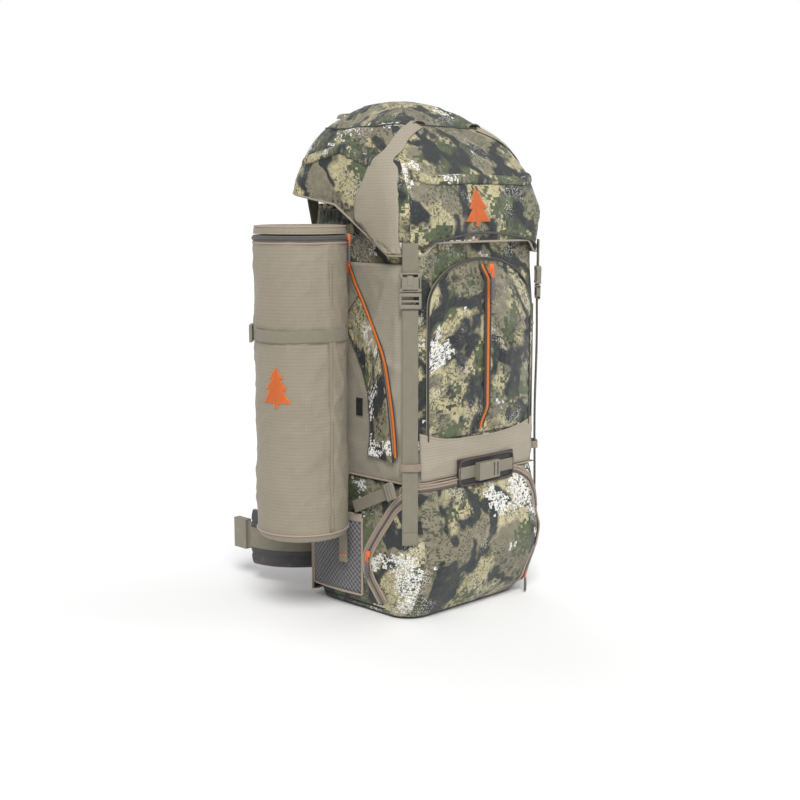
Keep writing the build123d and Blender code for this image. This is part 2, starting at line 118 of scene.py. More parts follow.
def around(section, s):
    """Point and outward normal at an arc length from the front left corner.

    Positive s runs along the front towards +X, negative s along the left side.
    """
    half, front, back, r = section
    wide, deep, quarter = 2 * (half - r), back - front - 2 * r, math.pi * r / 2
    arcs = [(half - r, front + r, -90), (half - r, back - r, 0),
            (-half + r, back - r, 90), (-half + r, front + r, 180)]
    sides = [((-half + r, front), (1, 0), wide), ((half, front + r), (0, 1), deep),
             ((half - r, back), (-1, 0), wide), ((-half, back - r), (0, -1), deep)]

    def on_arc(cx, cy, start):
        a = math.radians(start + 90 * s / quarter)
        across, along = math.cos(a), math.sin(a)
        return Vector((cx + r * across, cy + r * along)), Vector((across, along))
    s = s % perimeter(section) + quarter / 2
    if s <= quarter:
        return on_arc(*arcs[3])
    s -= quarter
    for (start_at, step, length), arc in zip(sides, arcs):
        if s <= length:
            return Vector(start_at) + Vector(step) * s, Vector((step[1], -step[0]))
        s -= length
        if s <= quarter:
            return on_arc(*arc)
        s -= quarter
    return around(section, 0)


def on_shell(levels, z, s, out=0.0):
    """A point out from a shell, at a height and an arc length from its corner."""
    p, n = around(hermite(levels, z), s)
    return Vector((p.x + n.x * out, p.y + n.y * out, z))


def smooth(edge0, edge1, x):
    t = min(max((x - edge0) / (edge1 - edge0), 0.0), 1.0)
    return t * t * (3 - 2 * t)


def lerp(a, b, t):
    return a + (b - a) * t


def curve_at(knots, t):
    """Catmull-Rom through a list of tuples, t from 0 to 1."""
    n = len(knots) - 1
    x = min(max(t, 0.0), 1.0) * n
    i = min(int(x), n - 1)
    f = x - i
    p = [Vector(knots[min(max(k, 0), n)]) for k in (i - 1, i, i + 1, i + 2)]
    return 0.5 * ((2 * p[1]) + (p[2] - p[0]) * f + (2 * p[0] - 5 * p[1] + 4 * p[2] - p[3]) * f**2
                  + (3 * p[1] - p[0] - 3 * p[2] + p[3]) * f**3)


def spline(knots, count):
    """Evenly counted points on a smooth path."""
    return [curve_at(knots, i / (count - 1)) for i in range(count)]


def wrinkle(a, b, seed):
    """Soft creases from noise, -1 to 1, sharp on their crests."""
    p = Vector((a, b, seed))
    ridge = 1 - 2 * abs(noise.noise(p))
    return 0.6 * ridge**3 + 0.4 * noise.noise(p * 2.3 + Vector((7, 3, 1)))


# ------------------------------------------------------------------ mesh tools
def make_mesh(name, verts, faces, loop_uv, material, body, shade_smooth=True):
    """A piece from vertices, faces and one metric UV for each loop, riding on a body."""
    mesh = bpy.data.meshes.new(name)
    mesh.from_pydata([tuple(v) for v in verts], [], faces)
    layer = mesh.uv_layers.new(name="cloth")
    for i, uv in enumerate(loop_uv):
        layer.data[i].uv = uv
    mesh.materials.append(material)
    for poly in mesh.polygons:
        poly.use_smooth = shade_smooth
    mesh.update()
    piece = bpy.data.objects.new(name, mesh)
    bpy.context.scene.collection.objects.link(piece)
    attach(piece, body)
    return piece


def grid(name, rows, uvs, material, body, closed=False, thick=0.0):
    """A cloth surface through rows of points, with an optional thickness."""
    n = len(rows[0])
    verts = [p for row in rows for p in row]
    faces, loop_uv = [], []
    columns = n if closed else n - 1
    for j in range(len(rows) - 1):
        for i in range(columns):
            k = (i + 1) % n
            faces.append((j * n + i, j * n + k, (j + 1) * n + k, (j + 1) * n + i))
            loop_uv += [uvs[j][i], uvs[j][i + 1], uvs[j + 1][i + 1], uvs[j + 1][i]]
    piece = make_mesh(name, verts, faces, loop_uv, material, body)
    if thick:
        thicken(piece, thick)
    return piece


def thicken(piece, thick):
    """Gives a surface its thickness, inwards from the face."""
    solid = piece.modifiers.new("thickness", "SOLIDIFY")
    solid.thickness = thick
    solid.offset = -1.0
    return piece


def shell_ring(name, levels, heights, step, out, material, body, thick=0.0, seed=0.0):
    """A whole sleeve round the pack; out(s, z) is how far it stands from the shell."""
    mid = hermite(levels, heights[len(heights) // 2])
    total = perimeter(mid)
    n = int(total / step)
    rows, uvs = [], []
    for z in heights:
        section = hermite(levels, z)
        length = perimeter(section)
        row = []
        for i in range(n):
            s = length * i / n
            p, normal = around(section, s)
            d = out(total * i / n, z)
            row.append(Vector((p.x + normal.x * d, p.y + normal.y * d, z)))
        rows.append(row)
        uvs.append([(total * i / n + seed, z + seed * SEED_LIFT) for i in range(n + 1)])
    return grid(name, rows, uvs, material, body, closed=True, thick=thick)


def run_lengths(points):
    """Distance along a path at each of its points."""
    lengths = [0.0]
    for a, b in zip(points, points[1:]):
        lengths.append(lengths[-1] + (b - a).length)
    return lengths


def frames_along(points, side_hint):
    """Unit tangent, side and normal at each point; the side stays near the hint."""
    out = []
    for i in range(len(points)):
        a, b = points[max(i - 1, 0)], points[min(i + 1, len(points) - 1)]
        t = (b - a).normalized()
        hint = Vector(side_hint(i) if callable(side_hint) else side_hint)
        side = (hint - t * hint.dot(t)).normalized()
        out.append((t, side, side.cross(t)))
    return out


def sweep(name, points, profile, side_hint, material, body, closed=False):
    """Sweeps a closed profile of (across, up) pairs along a path."""
    verts, faces, loop_uv = [], [], []
    n, m = len(profile), len(points)
    lengths = run_lengths(points)
    around_len = run_lengths([Vector(q) for q in profile + profile[:1]])
    for p, (_, side, up) in zip(points, frames_along(points, side_hint)):
        verts += [p + side * x + up * y for x, y in profile]
    for j in range(m if closed else m - 1):
        j2 = (j + 1) % m
        v0, v1 = lengths[j], lengths[j] + (points[j2] - points[j]).length
        for k in range(n):
            k2 = (k + 1) % n
            faces.append((j * n + k, j * n + k2, j2 * n + k2, j2 * n + k))
            u0, u1 = around_len[k:k + 2]
            loop_uv += [(u0, v0), (u1, v0), (u1, v1), (u0, v1)]
    if not closed:
        faces.append(tuple(reversed(range(n))))
        faces.append(tuple((m - 1) * n + k for k in range(n)))
        loop_uv += list(profile) * 2
    return make_mesh(name, verts, faces, loop_uv, material, body)


def circle_profile(radius, n=8):
    return [(radius * math.cos(2 * math.pi * k / n), radius * math.sin(2 * math.pi * k / n))
            for k in range(n)]


def strap_profile(width, thick):
    """Webbing: flat faces with a rolled selvedge on both edges."""
    w, t, n = width / 2, thick / 2, 9
    top = [(lerp(-w + t, w - t, i / n), t * (1.12 if i in (1, n - 1) else 1.0)) for i in range(n + 1)]
    low = [(x, -y) for x, y in reversed(top)]
    return top + [(w, 0)] + low + [(-w, 0)]


def webbing(name, points, width, side, body, material=None, thick=1.7 * MM):
    return sweep(name, points, strap_profile(width, thick), side, material or WEBBING, body)


def cord_tube(name, points, radius, material, body, closed=False, n=8):
    hint = Vector((0.31, 0.53, 0.79))
    return sweep(name, points, circle_profile(radius, n), hint, material, body, closed)


def join(name, pieces):
    """Joins pieces of one body into the first one, keeping their materials."""
    base = pieces[0]
    for piece in pieces[1:]:
        for mat in piece.data.materials:
            if mat.name not in [m.name for m in base.data.materials]:
                base.data.materials.append(mat)
    slots = {m.name: i for i, m in enumerate(base.data.materials)}
    bm = bmesh.new()
    uv_name = "cloth"
    merged = bmesh.new()
    layer = merged.loops.layers.uv.new(uv_name)
    for piece in pieces:
        bm.clear()
        bm.from_mesh(piece.data)
        source = bm.loops.layers.uv.get(uv_name)
        index = [slots[m.name] for m in piece.data.materials] or [0]
        new = [merged.verts.new(v.co) for v in bm.verts]
        bm.verts.index_update()
        for face in bm.faces:
            f = merged.faces.new([new[v.index] for v in face.verts])
            f.smooth = face.smooth
            f.material_index = index[min(face.material_index, len(index) - 1)]
            for a, b in zip(f.loops, face.loops):
                if source:
                    a[layer].uv = b[source].uv
    merged.to_mesh(base.data)
    bm.free()
    merged.free()
    for piece in pieces[1:]:
        bpy.data.objects.remove(piece)
    base.name = name
    return base


def block_mesh(name, centre, axes, size, material, body, bevel, taper=1.0):
    """A bevelled moulding: axes are its unit width, height and depth directions."""
    ax, ay, az = (Vector(a).normalized() for a in axes)
    w, h, d = (s / 2 for s in size)
    verts, c = [], Vector(centre)
    for z in (-1, 1):
        k = taper if z > 0 else 1.0
        for x, y in ((-1, -1), (1, -1), (1, 1), (-1, 1)):
            verts.append(c + ax * x * w * k + ay * y * h * k + az * z * d)
    faces = [(3, 2, 1, 0), (4, 5, 6, 7), (0, 1, 5, 4), (1, 2, 6, 5), (2, 3, 7, 6), (3, 0, 4, 7)]
    uv = []
    for face in faces:
        for i in face:
            q = verts[i] - c
            uv.append((q.dot(ax) + q.dot(az), q.dot(ay) + q.dot(az)))
    piece = make_mesh(name, verts, faces, uv, material, body, shade_smooth=False)
    bm = bmesh.new()
    bm.from_mesh(piece.data)
    bmesh.ops.bevel(bm, geom=bm.edges[:], offset=bevel, segments=2, profile=0.5, affect="EDGES")
    for f in bm.faces:
        f.smooth = True
    bm.to_mesh(piece.data)
    bm.free()
    return piece


def stitches(name, points, normal, body, material=None, pitch=3.2 * MM, length=2.2 * MM,
             radius=.32 * MM):
    """A row of thread stitches along a path."""
    lengths = run_lengths(points)
    verts, faces = [], []
    count = int(lengths[-1] / pitch)
    for i in range(count):
        d = (i + 0.5) * pitch
        k = max(j for j in range(len(points) - 1) if lengths[j] <= d)
        t = (points[k + 1] - points[k]).normalized()
        p = points[k] + t * (d - lengths[k])
        up = Vector(normal(p) if callable(normal) else normal)
        side = t.cross(up).normalized()
        base = len(verts)
        for along, scale in ((-.5, .35), (-.25, 1), (.25, 1), (.5, .35)):
            for a in range(5):
                angle = 2 * math.pi * a / 5
                verts.append(p + t * along * length + side * math.cos(angle) * radius * scale
                             + up * math.sin(angle) * radius * scale)
        for ring in range(3):
            for a in range(5):
                q, r = base + ring * 5 + a, base + ring * 5 + (a + 1) % 5
                faces.append((q, r, r + 5, q + 5))
        faces.append(tuple(base + a for a in reversed(range(5))))
        faces.append(tuple(base + 15 + a for a in range(5)))
    uv = [(0, 0)] * sum(len(f) for f in faces)
    return make_mesh(name, verts, faces, uv, material or THREAD, body)


def inflate(piece, pinned, pressure, cap, frames=14, grow=0.03, stiffness=12.0, bending=0.4):
    """Cloth simulation under pressure, pinned at the seams, then applied to the mesh."""
    group = piece.vertex_groups.new(name="seams")
    group.add(pinned, 1.0, "ADD")
    rest = [v.co.copy() for v in piece.data.vertices]
    cloth = piece.modifiers.new("cloth", "CLOTH")
    cloth.settings.vertex_group_mass = "seams"
    cloth.settings.use_pressure = True
    cloth.settings.uniform_pressure_force = pressure
    cloth.settings.quality = 5
    cloth.settings.mass = 0.2
    cloth.settings.tension_stiffness = stiffness
    cloth.settings.compression_stiffness = stiffness
    cloth.settings.shear_stiffness = stiffness * 0.4
    cloth.settings.bending_stiffness = bending
    cloth.settings.shrink_min = -grow
    cloth.settings.effector_weights.gravity = 0.0
    cloth.point_cache.frame_end = frames
    for f in range(1, frames + 1):
        bpy.context.scene.frame_set(f)
    solved = piece.evaluated_get(bpy.context.evaluated_depsgraph_get())
    moved = [v.co.copy() for v in solved.data.vertices]
    piece.modifiers.remove(cloth)
    piece.vertex_groups.remove(group)
    for v, a, b in zip(piece.data.vertices, rest, moved):
        d = b - a
        if d.length > cap:
            d = d * (cap / d.length)
        v.co = a + d
    piece.data.update()
    bpy.context.scene.frame_set(1)


def border(rows, columns):
    """Indices of a grid's edge vertices."""
    out = set(range(columns)) | set(range((rows - 1) * columns, rows * columns))
    for j in range(rows):
        out |= {j * columns, j * columns + columns - 1}
    return sorted(out)


# ------------------------------------------------------------------ materials
class Shader:
    """A small helper to wire a Principled material."""

    def __init__(self, name, roughness=0.8, metallic=0.0, sheen=0.0, coords="uv"):
        self.mat = bpy.data.materials.new(name)
        self.mat.use_nodes = True
        self.tree = self.mat.node_tree
        self.bsdf = self.tree.nodes["Principled BSDF"]
        self.bsdf.inputs["Roughness"].default_value = roughness
        self.bsdf.inputs["Metallic"].default_value = metallic
        if sheen:
            self.bsdf.inputs["Sheen Weight"].default_value = sheen
            self.bsdf.inputs["Sheen Roughness"].default_value = 0.5
        if coords == "uv":
            self.p = self.node("UVMap", "UV", uv_map="cloth")
        else:
            self.p = self.node("TexCoord", "Object")

    def put(self, socket, value):
        """Links a node's output to a socket, or sets the socket's own value."""
        if hasattr(value, "is_output"):
            self.tree.links.new(value, socket)
        elif isinstance(value, (tuple, list)) and len(value) == 3 and socket.type == "RGBA":
            socket.default_value = (*value, 1.0)
        else:
            socket.default_value = value

    def node(self, kind, output, inputs=None, **settings):
        """Adds a node with its settings and inputs, and gives the output asked for."""
        node = self.tree.nodes.new("ShaderNode" + kind)
        for key, value in settings.items():
            setattr(node, key, value)
        for key, value in (inputs or {}).items():
            self.put(node.inputs[key], value)
        return node.outputs[output]

    def math(self, op, a, b=0.0, c=0.0, clamp=False):
        return self.node("Math", 0, {0: a, 1: b, 2: c}, operation=op, use_clamp=clamp)

    mul = partialmethod(math, "MULTIPLY")
    add = partialmethod(math, "ADD")
    sub = partialmethod(math, "SUBTRACT")
    sin = partialmethod(math, "SINE")
    top = partialmethod(math, "MAXIMUM")

    def vec(self, op, p, by):
        return self.node("VectorMath", "Vector", {0: p, 1: by}, operation=op)

    def moved(self, p, x, y):
        """The same pattern from another place, so that two noises don't agree."""
        return self.vec("ADD", p, (x, y, 0))

    def noise(self, p, scale, detail=2.0, rough=0.5, output="Fac"):
        return self.node("TexNoise", output,
                         {"Vector": p, "Scale": scale, "Detail": detail, "Roughness": rough})

    def white(self, p):
        return self.node("TexWhiteNoise", "Value", {"Vector": p}, noise_dimensions="3D")

    def voronoi(self, p, scale, feature="DISTANCE_TO_EDGE", randomness=1.0):
        return self.node("TexVoronoi", "Distance",
                         {"Vector": p, "Scale": scale, "Randomness": randomness}, feature=feature)

    def step(self, value, lo, hi):
        """0 below lo, 1 above hi, smooth between."""
        return self.node("MapRange", "Result", {"Value": value, "From Min": lo, "From Max": hi},
                         interpolation_type="SMOOTHSTEP")

    def mix(self, fac, a, b):
        return self.node("Mix", 2, {"Factor": fac, 6: a, 7: b}, data_type="RGBA")

    def bump(self, height, distance, strength):
        normal = self.node("Bump", "Normal",
                           {"Strength": strength, "Distance": distance, "Height": height})
        self.put(self.bsdf.inputs["Normal"], normal)

    def split(self):
        """The place on the cloth along x and along y."""
        x = self.node("SeparateXYZ", 0, {0: self.p})
        return x, x.node.outputs[1]

    def done(self, color, roughness=None):
        self.put(self.bsdf.inputs["Base Color"], color)
        if roughness is not None:
            self.put(self.bsdf.inputs["Roughness"], roughness)
        return self.mat


def scaled(color, k):
    return tuple(c * k for c in color)


def weave_height(s, pitch):
    """Plain weave: threads along u and v crossing over each other."""
    x, y = s.split()
    k = 2 * math.pi / pitch
    return s.mul(s.sin(s.mul(x, k)), s.sin(s.mul(y, k)))


def camo_cloth(name):
    """Brushed cloth printed with a pixel camouflage: cracked tan ground, olive and brown
    patches with soft charcoal shade, and clusters of dark, olive and white squares."""
    s = Shader(name, roughness=0.88, sheen=0.12)
    p = s.p
    warp = s.node("VectorMath", "Vector", {0: s.noise(p, 14, 3, output="Color"), "Scale": 0.03},
                  operation="SCALE")
    soft = s.vec("ADD", p, warp)
    pixel = s.vec("SNAP", p, (0.0054, 0.0047, 1.0))
    small = s.vec("SNAP", p, (0.0027, 0.0024, 1.0))
    tiny = s.vec("SNAP", p, (0.0012, 0.0012, 1.0))
    cell, cell_small, cell_tiny = s.white(pixel), s.white(small), s.white(tiny)

    ground = s.mix(s.noise(p, 26, 4, 0.6), (0.30, 0.26, 0.125), (0.62, 0.56, 0.345))
    crack_zone = s.step(s.noise(s.moved(p, 3, 1), 11, 1), 0.36, 0.48)
    crack = s.step(s.voronoi(soft, 62), 0.05, 0.012)
    color = s.mix(s.mul(crack, s.mul(crack_zone, 0.75)), ground, (0.07, 0.06, 0.035))

    # brown-grey bark patches
    bark_n = s.noise(s.moved(soft, 5.3, 2.7), 9, 3, 0.55)
    bark = s.step(bark_n, 0.525, 0.575)
    color = s.mix(s.mul(bark, 0.9), color,
                  s.mix(s.noise(p, 90, 3), (0.07, 0.065, 0.045), (0.26, 0.235, 0.165)))

    # olive patches whose edges break into pixels
    edge = s.mul(s.sub(cell, 0.5), 0.09)
    olive_n = s.add(s.noise(s.moved(pixel, 1.7, 8.2), 8.5, 2, 0.5), edge)
    olive = s.step(olive_n, 0.520, 0.527)
    color = s.mix(olive, color,
                  s.mix(s.noise(p, 120, 3, 0.7), (0.022, 0.036, 0.014), (0.135, 0.165, 0.07)))

    # charcoal shade with a soft blue-black edge along the patches
    rim = s.sub(1.0, s.mul(s.math("ABSOLUTE", s.sub(bark_n, 0.49)), 14.0), clamp=True)
    where = s.step(s.noise(s.moved(soft, 9.1, 4.4), 10, 2), 0.42, 0.52)
    shade = s.mul(s.mul(rim, where), 1.9, clamp=True)
    color = s.mix(shade, color, (0.010, 0.014, 0.017))

    # dark squares in clusters, on two pixel sizes
    cluster = s.step(s.noise(s.moved(p, 2.2, 6.1), 17, 2), 0.50, 0.62)
    squares = s.mul(s.step(cell, 0.70, 0.71), cluster)
    color = s.mix(s.mul(squares, 0.86), color, (0.026, 0.030, 0.020))
    squares = s.mul(s.step(cell_small, 0.80, 0.81),
                    s.step(s.noise(s.moved(p, 7.7, 0.4), 13, 2), 0.38, 0.52))
    color = s.mix(s.mul(squares, 0.8), color, (0.035, 0.037, 0.022))

    # white pixel drifts with fine cracks
    drift_n = s.add(s.noise(s.moved(pixel, 4.4, 9.9), 8.0, 2, 0.6), edge)
    drift = s.mul(s.step(drift_n, 0.603, 0.607), s.step(cell_small, 0.22, 0.23))
    fine = s.step(s.voronoi(p, 250), 0.07, 0.02)
    color = s.mix(drift, color, s.mix(fine, (0.80, 0.79, 0.74), (0.16, 0.16, 0.14)))
    speck = s.mul(s.step(cell_tiny, 0.83, 0.84),
                  s.step(s.noise(s.moved(p, 8.8, 3.3), 15, 2), 0.54, 0.66))
    color = s.mix(speck, color, (0.60, 0.58, 0.51))
    dots = s.mul(s.step(s.white(s.moved(tiny, 0.5, 0.2)), 0.89, 0.90),
                 s.step(s.noise(s.moved(p, 0.8, 5.3), 12, 2), 0.46, 0.62))
    color = s.mix(dots, color, (0.02, 0.022, 0.018))
    nap = s.noise(p, 900, 2)
    s.bump(s.add(s.mul(weave_height(s, 0.0011), 0.4), nap), 0.00025, 0.7)
    return s.done(color, s.step(nap, -0.9, 1.6))


def ripstop(name, light, dark, pitch=0.0045, roughness=0.58):
    """Plain nylon with a grid of thicker ripstop threads."""
    s = Shader(name, roughness=roughness, sheen=0.1)
    x, y = s.split()

    def rib(axis, width):
        return s.step(s.math("PINGPONG", axis, pitch / 2), width, width * 0.35)
    across, along = rib(y, 0.00055), rib(x, 0.00038)
    slub = s.noise(s.vec("MULTIPLY", s.p, (20, 420, 1)), 1.0, 3)
    base = s.mix(s.noise(s.p, 9, 3, 0.6), dark, light)
    base = s.mix(s.mul(slub, 0.28), base, scaled(dark, 0.62))
    lines = s.top(s.mul(across, 0.55), s.mul(along, 0.22))
    color = s.mix(lines, base, scaled(light, 0.60))
    height = s.add(s.mul(weave_height(s, 0.0009), 0.35), s.top(across, along))
    s.bump(height, 0.00022, 0.8)
    return s.done(color)


def webbing_cloth(name, light, dark):
    """Ribbed polyester webbing with a herringbone face."""
    s = Shader(name, roughness=0.72, sheen=0.15)
    x, y = s.split()
    k = 2 * math.pi
    zig = s.math("PINGPONG", x, 0.0031)
    rib = s.sin(s.mul(s.add(y, s.mul(zig, 0.8)), k / 0.0016))
    fine = s.sin(s.mul(x, k / 0.0008))
    color = s.mix(s.step(rib, -1, 1), dark, light)
    color = s.mix(s.mul(s.noise(s.p, 60, 3), 0.35), color, scaled(dark, 0.55))
    s.bump(s.add(rib, s.mul(fine, 0.4)), 0.00018, 0.9)
    return s.done(color)


def moulded(name, base, worn, roughness=0.42, coords="uv"):
    """Injection-moulded plastic with a fine spark-eroded texture and scuffed high spots."""
    s = Shader(name, roughness=roughness, coords=coords)
    scuff = s.step(s.noise(s.p, 55, 4, 0.65), 0.56, 0.74)
    color = s.mix(s.mul(scuff, 0.5), base, worn)
    s.bump(s.noise(s.p, 2400, 2), 0.00006, 0.6)
    rough = s.math("MULTIPLY_ADD", s.noise(s.p, 90, 3), 0.25, roughness - 0.1)
    return s.done(color, rough)


def coil(name, light, dark):
    """Nylon zip coil: slanted loops, darker between them."""
    s = Shader(name, roughness=0.38)
    x, y = s.split()
    k = 2 * math.pi / 0.0013
    turn = s.sin(s.mul(s.add(y, s.mul(x, 0.5)), k))
    color = s.mix(s.step(turn, -0.9, 0.5), dark, light)
    s.bump(turn, 0.0003, 0.9)
    return s.done(color)


def braided(name, light, dark):
    """Braided cord sheath: two opposed helices."""
    s = Shader(name, roughness=0.6, sheen=0.2)
    x, y = s.split()
    def strand(sign):
        return s.sin(s.mul(s.math("MULTIPLY_ADD", x, sign, y), 3600.0))
    height = s.mul(strand(1), strand(-1))
    s.bump(height, 0.00025, 0.9)
    return s.done(s.mix(s.step(height, -1, 0.6), dark, light))


def spacer_mesh(name, light, dark):
    """Knitted air mesh: a field of small open holes over foam."""
    s = Shader(name, roughness=0.9, sheen=0.2)
    cell = s.voronoi(s.p, 380, "F1", 0.15)
    hole = s.step(cell, 0.42, 0.30)
    color = s.mix(hole, light, dark)
    color = s.mix(s.mul(s.noise(s.p, 40, 3), 0.3), color, dark)
    s.bump(s.sub(1.0, hole), 0.0006, 0.8)
    return s.done(color)


def coated(name, light, dark):
    """Heavy coated pack cloth: coarse basket weave, slightly glossy."""
    s = Shader(name, roughness=0.55)
    height = weave_height(s, 0.0018)
    color = s.mix(s.step(height, -1, 1), dark, light)
    color = s.mix(s.mul(s.step(s.noise(s.p, 30, 4, 0.7), 0.5, 0.8), 0.5), color,
                  tuple(min(1, c * 3) for c in light))
    s.bump(height, 0.0003, 0.8)
    return s.done(color)


def embossed_rubber(name):
    """Black moulded rubber with a raised diamond grip."""
    s = Shader(name, roughness=0.5)
    x, y = s.split()
    k = 2 * math.pi / 0.006
    a = s.sin(s.mul(s.add(x, y), k))
    b = s.sin(s.mul(s.sub(x, y), k))
    height = s.top(a, b)
    s.bump(s.add(height, s.mul(s.noise(s.p, 700, 2), 0.4)), 0.0005, 0.6)
    return s.done(s.mix(s.noise(s.p, 45, 3), (0.012, 0.011, 0.011), (0.035, 0.03, 0.03)))


def metal(name, tint, roughness=0.35):
    s = Shader(name, roughness=roughness, metallic=1.0, coords="object")
    streak = s.noise(s.vec("MULTIPLY", s.p, (900, 900, 20)), 1.0, 3)
    s.bump(streak, 0.00005, 0.5)
    return s.done(s.mix(streak, scaled(tint, 0.75), tint))


def thread(name, color):
    s = Shader(name, roughness=0.5, sheen=0.3)
    twist = s.noise(s.p, 3000, 1)
    return s.done(s.mix(twist, color, scaled(color, 0.6)))


CAMO = camo_cloth("camo_cloth")
TAN = ripstop("tan_ripstop", (0.42, 0.37, 0.285), (0.32, 0.275, 0.205))
TUBE_TAN = ripstop("tube_ripstop", (0.335, 0.29, 0.215), (0.255, 0.218, 0.155), pitch=0.0052)
SILVER = ripstop("silvery_ripstop", (0.42, 0.38, 0.30), (0.29, 0.26, 0.20), roughness=0.42)
BINDING = ripstop("binding_tape", (0.47, 0.37, 0.29), (0.36, 0.28, 0.21), pitch=0.0022, roughness=0.7)
WEBBING = webbing_cloth("webbing", (0.35, 0.32, 0.235), (0.15, 0.135, 0.095))
WEBBING_TAN = webbing_cloth("keeper_webbing", (0.40, 0.33, 0.25), (0.24, 0.19, 0.14))
PLASTIC = moulded("buckle_acetal", (0.215, 0.195, 0.15), (0.33, 0.30, 0.24))
GRIP = moulded("grip_rubber", (0.115, 0.11, 0.115), (0.19, 0.18, 0.18), roughness=0.6)
BLACK_PLASTIC = moulded("black_plastic", (0.02, 0.02, 0.021), (0.06, 0.06, 0.06), coords="object")
ORANGE_COIL = coil("orange_coil", (0.95, 0.27, 0.045), (0.42, 0.075, 0.01))
ORANGE_CORD = braided("orange_cord", (0.98, 0.20, 0.03), (0.60, 0.07, 0.008))
GREY_COIL = coil("grey_coil", (0.16, 0.15, 0.14), (0.04, 0.04, 0.04))
GREY_TAPE = webbing_cloth("grey_tape", (0.20, 0.18, 0.17), (0.10, 0.09, 0.085))
HEM_CORD = braided("hem_cord", (0.10, 0.10, 0.09), (0.03, 0.03, 0.03))
PAD = spacer_mesh("air_mesh", (0.085, 0.085, 0.09), (0.018, 0.018, 0.02))
PAD_GREY = coated("pad_cloth", (0.085, 0.083, 0.088), (0.045, 0.044, 0.047))
NET = braided("pocket_net", (0.40, 0.42, 0.45), (0.20, 0.21, 0.23))
BLACK_CLOTH = coated("base_cloth", (0.018, 0.018, 0.02), (0.006, 0.006, 0.007))
RUBBER = embossed_rubber("patch_rubber")
PIPING = braided("dark_piping", (0.045, 0.04, 0.032), (0.02, 0.018, 0.014))
PURPLE = braided("patch_piping", (0.085, 0.045, 0.045), (0.03, 0.016, 0.018))
ORANGE_EDGE = braided("orange_piping", (0.75, 0.22, 0.08), (0.40, 0.10, 0.03))
THREAD = thread("tan_thread", (0.42, 0.33, 0.20))
THREAD_ORANGE = thread("orange_thread", (0.90, 0.22, 0.04))
THREAD_DARK = thread("dark_thread", (0.06, 0.055, 0.045))
STAY = metal("stay_alloy", (0.72, 0.72, 0.74))
STEEL = metal("spring_steel", (0.62, 0.62, 0.60), 0.25)
INSIDE = ripstop("inner_lining", (0.22, 0.20, 0.17), (0.15, 0.135, 0.11))


# ------------------------------------------------------------------ camera, light, stage
CAMERA_AT = (-1.550, -1.510, 0.654)
CAMERA_HEADING = math.radians(-45)
# the photo's horizon, estimated 200 px above its middle, over its focal length, estimated 1324 px
CAMERA_PITCH = math.atan(200 / 1324)
LENS = 58.91
FLOOR_SIZE = 160
SEEN_WHITE, AMBIENT = 1.0, 0.48           # the backdrop as the camera sees it, and as it lights
SUNS = (("key", (0.55, 0.60, -0.80), 2.5, 22), ("fill", (-0.7, 0.5, -0.5), 0.7, 50),
        ("rear", (-0.2, -0.8, -0.8), 0.5, 50))      # name, direction, energy, softness in degrees


def set_stage():
    scene = bpy.context.scene
    heading, pitch = CAMERA_HEADING, CAMERA_PITCH
    ahead = Vector((-math.sin(heading), math.cos(heading), 0))
    look = ahead * math.cos(pitch) - Vector((0, 0, math.sin(pitch)))
    camera = bpy.data.objects.new("camera", bpy.data.cameras.new("camera"))
    camera.location = CAMERA_AT
    camera.rotation_euler = look.to_track_quat("-Z", "Y").to_euler()
    camera.data.lens = LENS
    camera.data.sensor_width = 36
    scene.collection.objects.link(camera)
    scene.camera = camera

    bpy.ops.mesh.primitive_plane_add(size=FLOOR_SIZE)
    floor = bpy.context.object
    floor.name = "floor"
    paper = Shader("pale_floor", roughness=0.9, coords="object")
    floor.data.materials.append(paper.done(paper.mix(paper.noise(paper.p, 3), (0.86, 0.86, 0.86),
                                                     (0.9, 0.9, 0.9))))

    world = bpy.data.worlds.new("studio")
    scene.world = world
    world.use_nodes = True
    tree = world.node_tree
    back = tree.nodes["Background"]
    back.inputs["Color"].default_value = (1, 1, 1, 1)
    seen = tree.nodes.new("ShaderNodeLightPath")
    level = tree.nodes.new("ShaderNodeMapRange")
    level.inputs["To Min"].default_value = AMBIENT
    level.inputs["To Max"].default_value = SEEN_WHITE
    tree.links.new(seen.outputs["Is Camera Ray"], level.inputs["Value"])
    tree.links.new(level.outputs["Result"], back.inputs["Strength"])

    for name, toward, energy, softness in SUNS:
        lamp = bpy.data.objects.new(name, bpy.data.lights.new(name, "SUN"))
        lamp.data.energy = energy
        lamp.data.angle = math.radians(softness)
        lamp.location = (0, 0, 3)
        lamp.rotation_euler = Vector(toward).to_track_quat("-Z", "Y").to_euler()
        scene.collection.objects.link(lamp)
    scene.view_settings.view_transform = "Standard"


set_stage()


# ------------------------------------------------------------------ shared builders
K = math.sqrt(0.5)
FRONT_ARC = 0.285        # arc length from the left front corner to the right one
PLASTIC_BODY = moulded("buckle_plastic_solid", (0.215, 0.195, 0.15), (0.33, 0.30, 0.24),
                       coords="object")
ORANGE_METAL = moulded("orange_slider", (0.75, 0.16, 0.03), (0.85, 0.35, 0.15), coords="object",
                       roughness=0.35)


def show(material, *nodes):
    """CAD pieces kept as they are, with a material."""
    for name in nodes:
        data = frame["nodes"][name].data
        data.materials.clear()
        data.materials.append(material)


def mirror(piece, body=None):
    """The left-hand piece again on the right side of the pack, with its right-hand name."""
    mesh = piece.data.copy()
    for v in mesh.vertices:
        v.co.x = -v.co.x
    mesh.flip_normals()
    twin = bpy.data.objects.new(piece.name.replace("_left", "_right"), mesh)
    bpy.context.scene.collection.objects.link(twin)
    for mod in piece.modifiers:
        if mod.type == "SOLIDIFY":
            thicken(twin, mod.thickness)
    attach(twin, body or piece["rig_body"])
    return twin


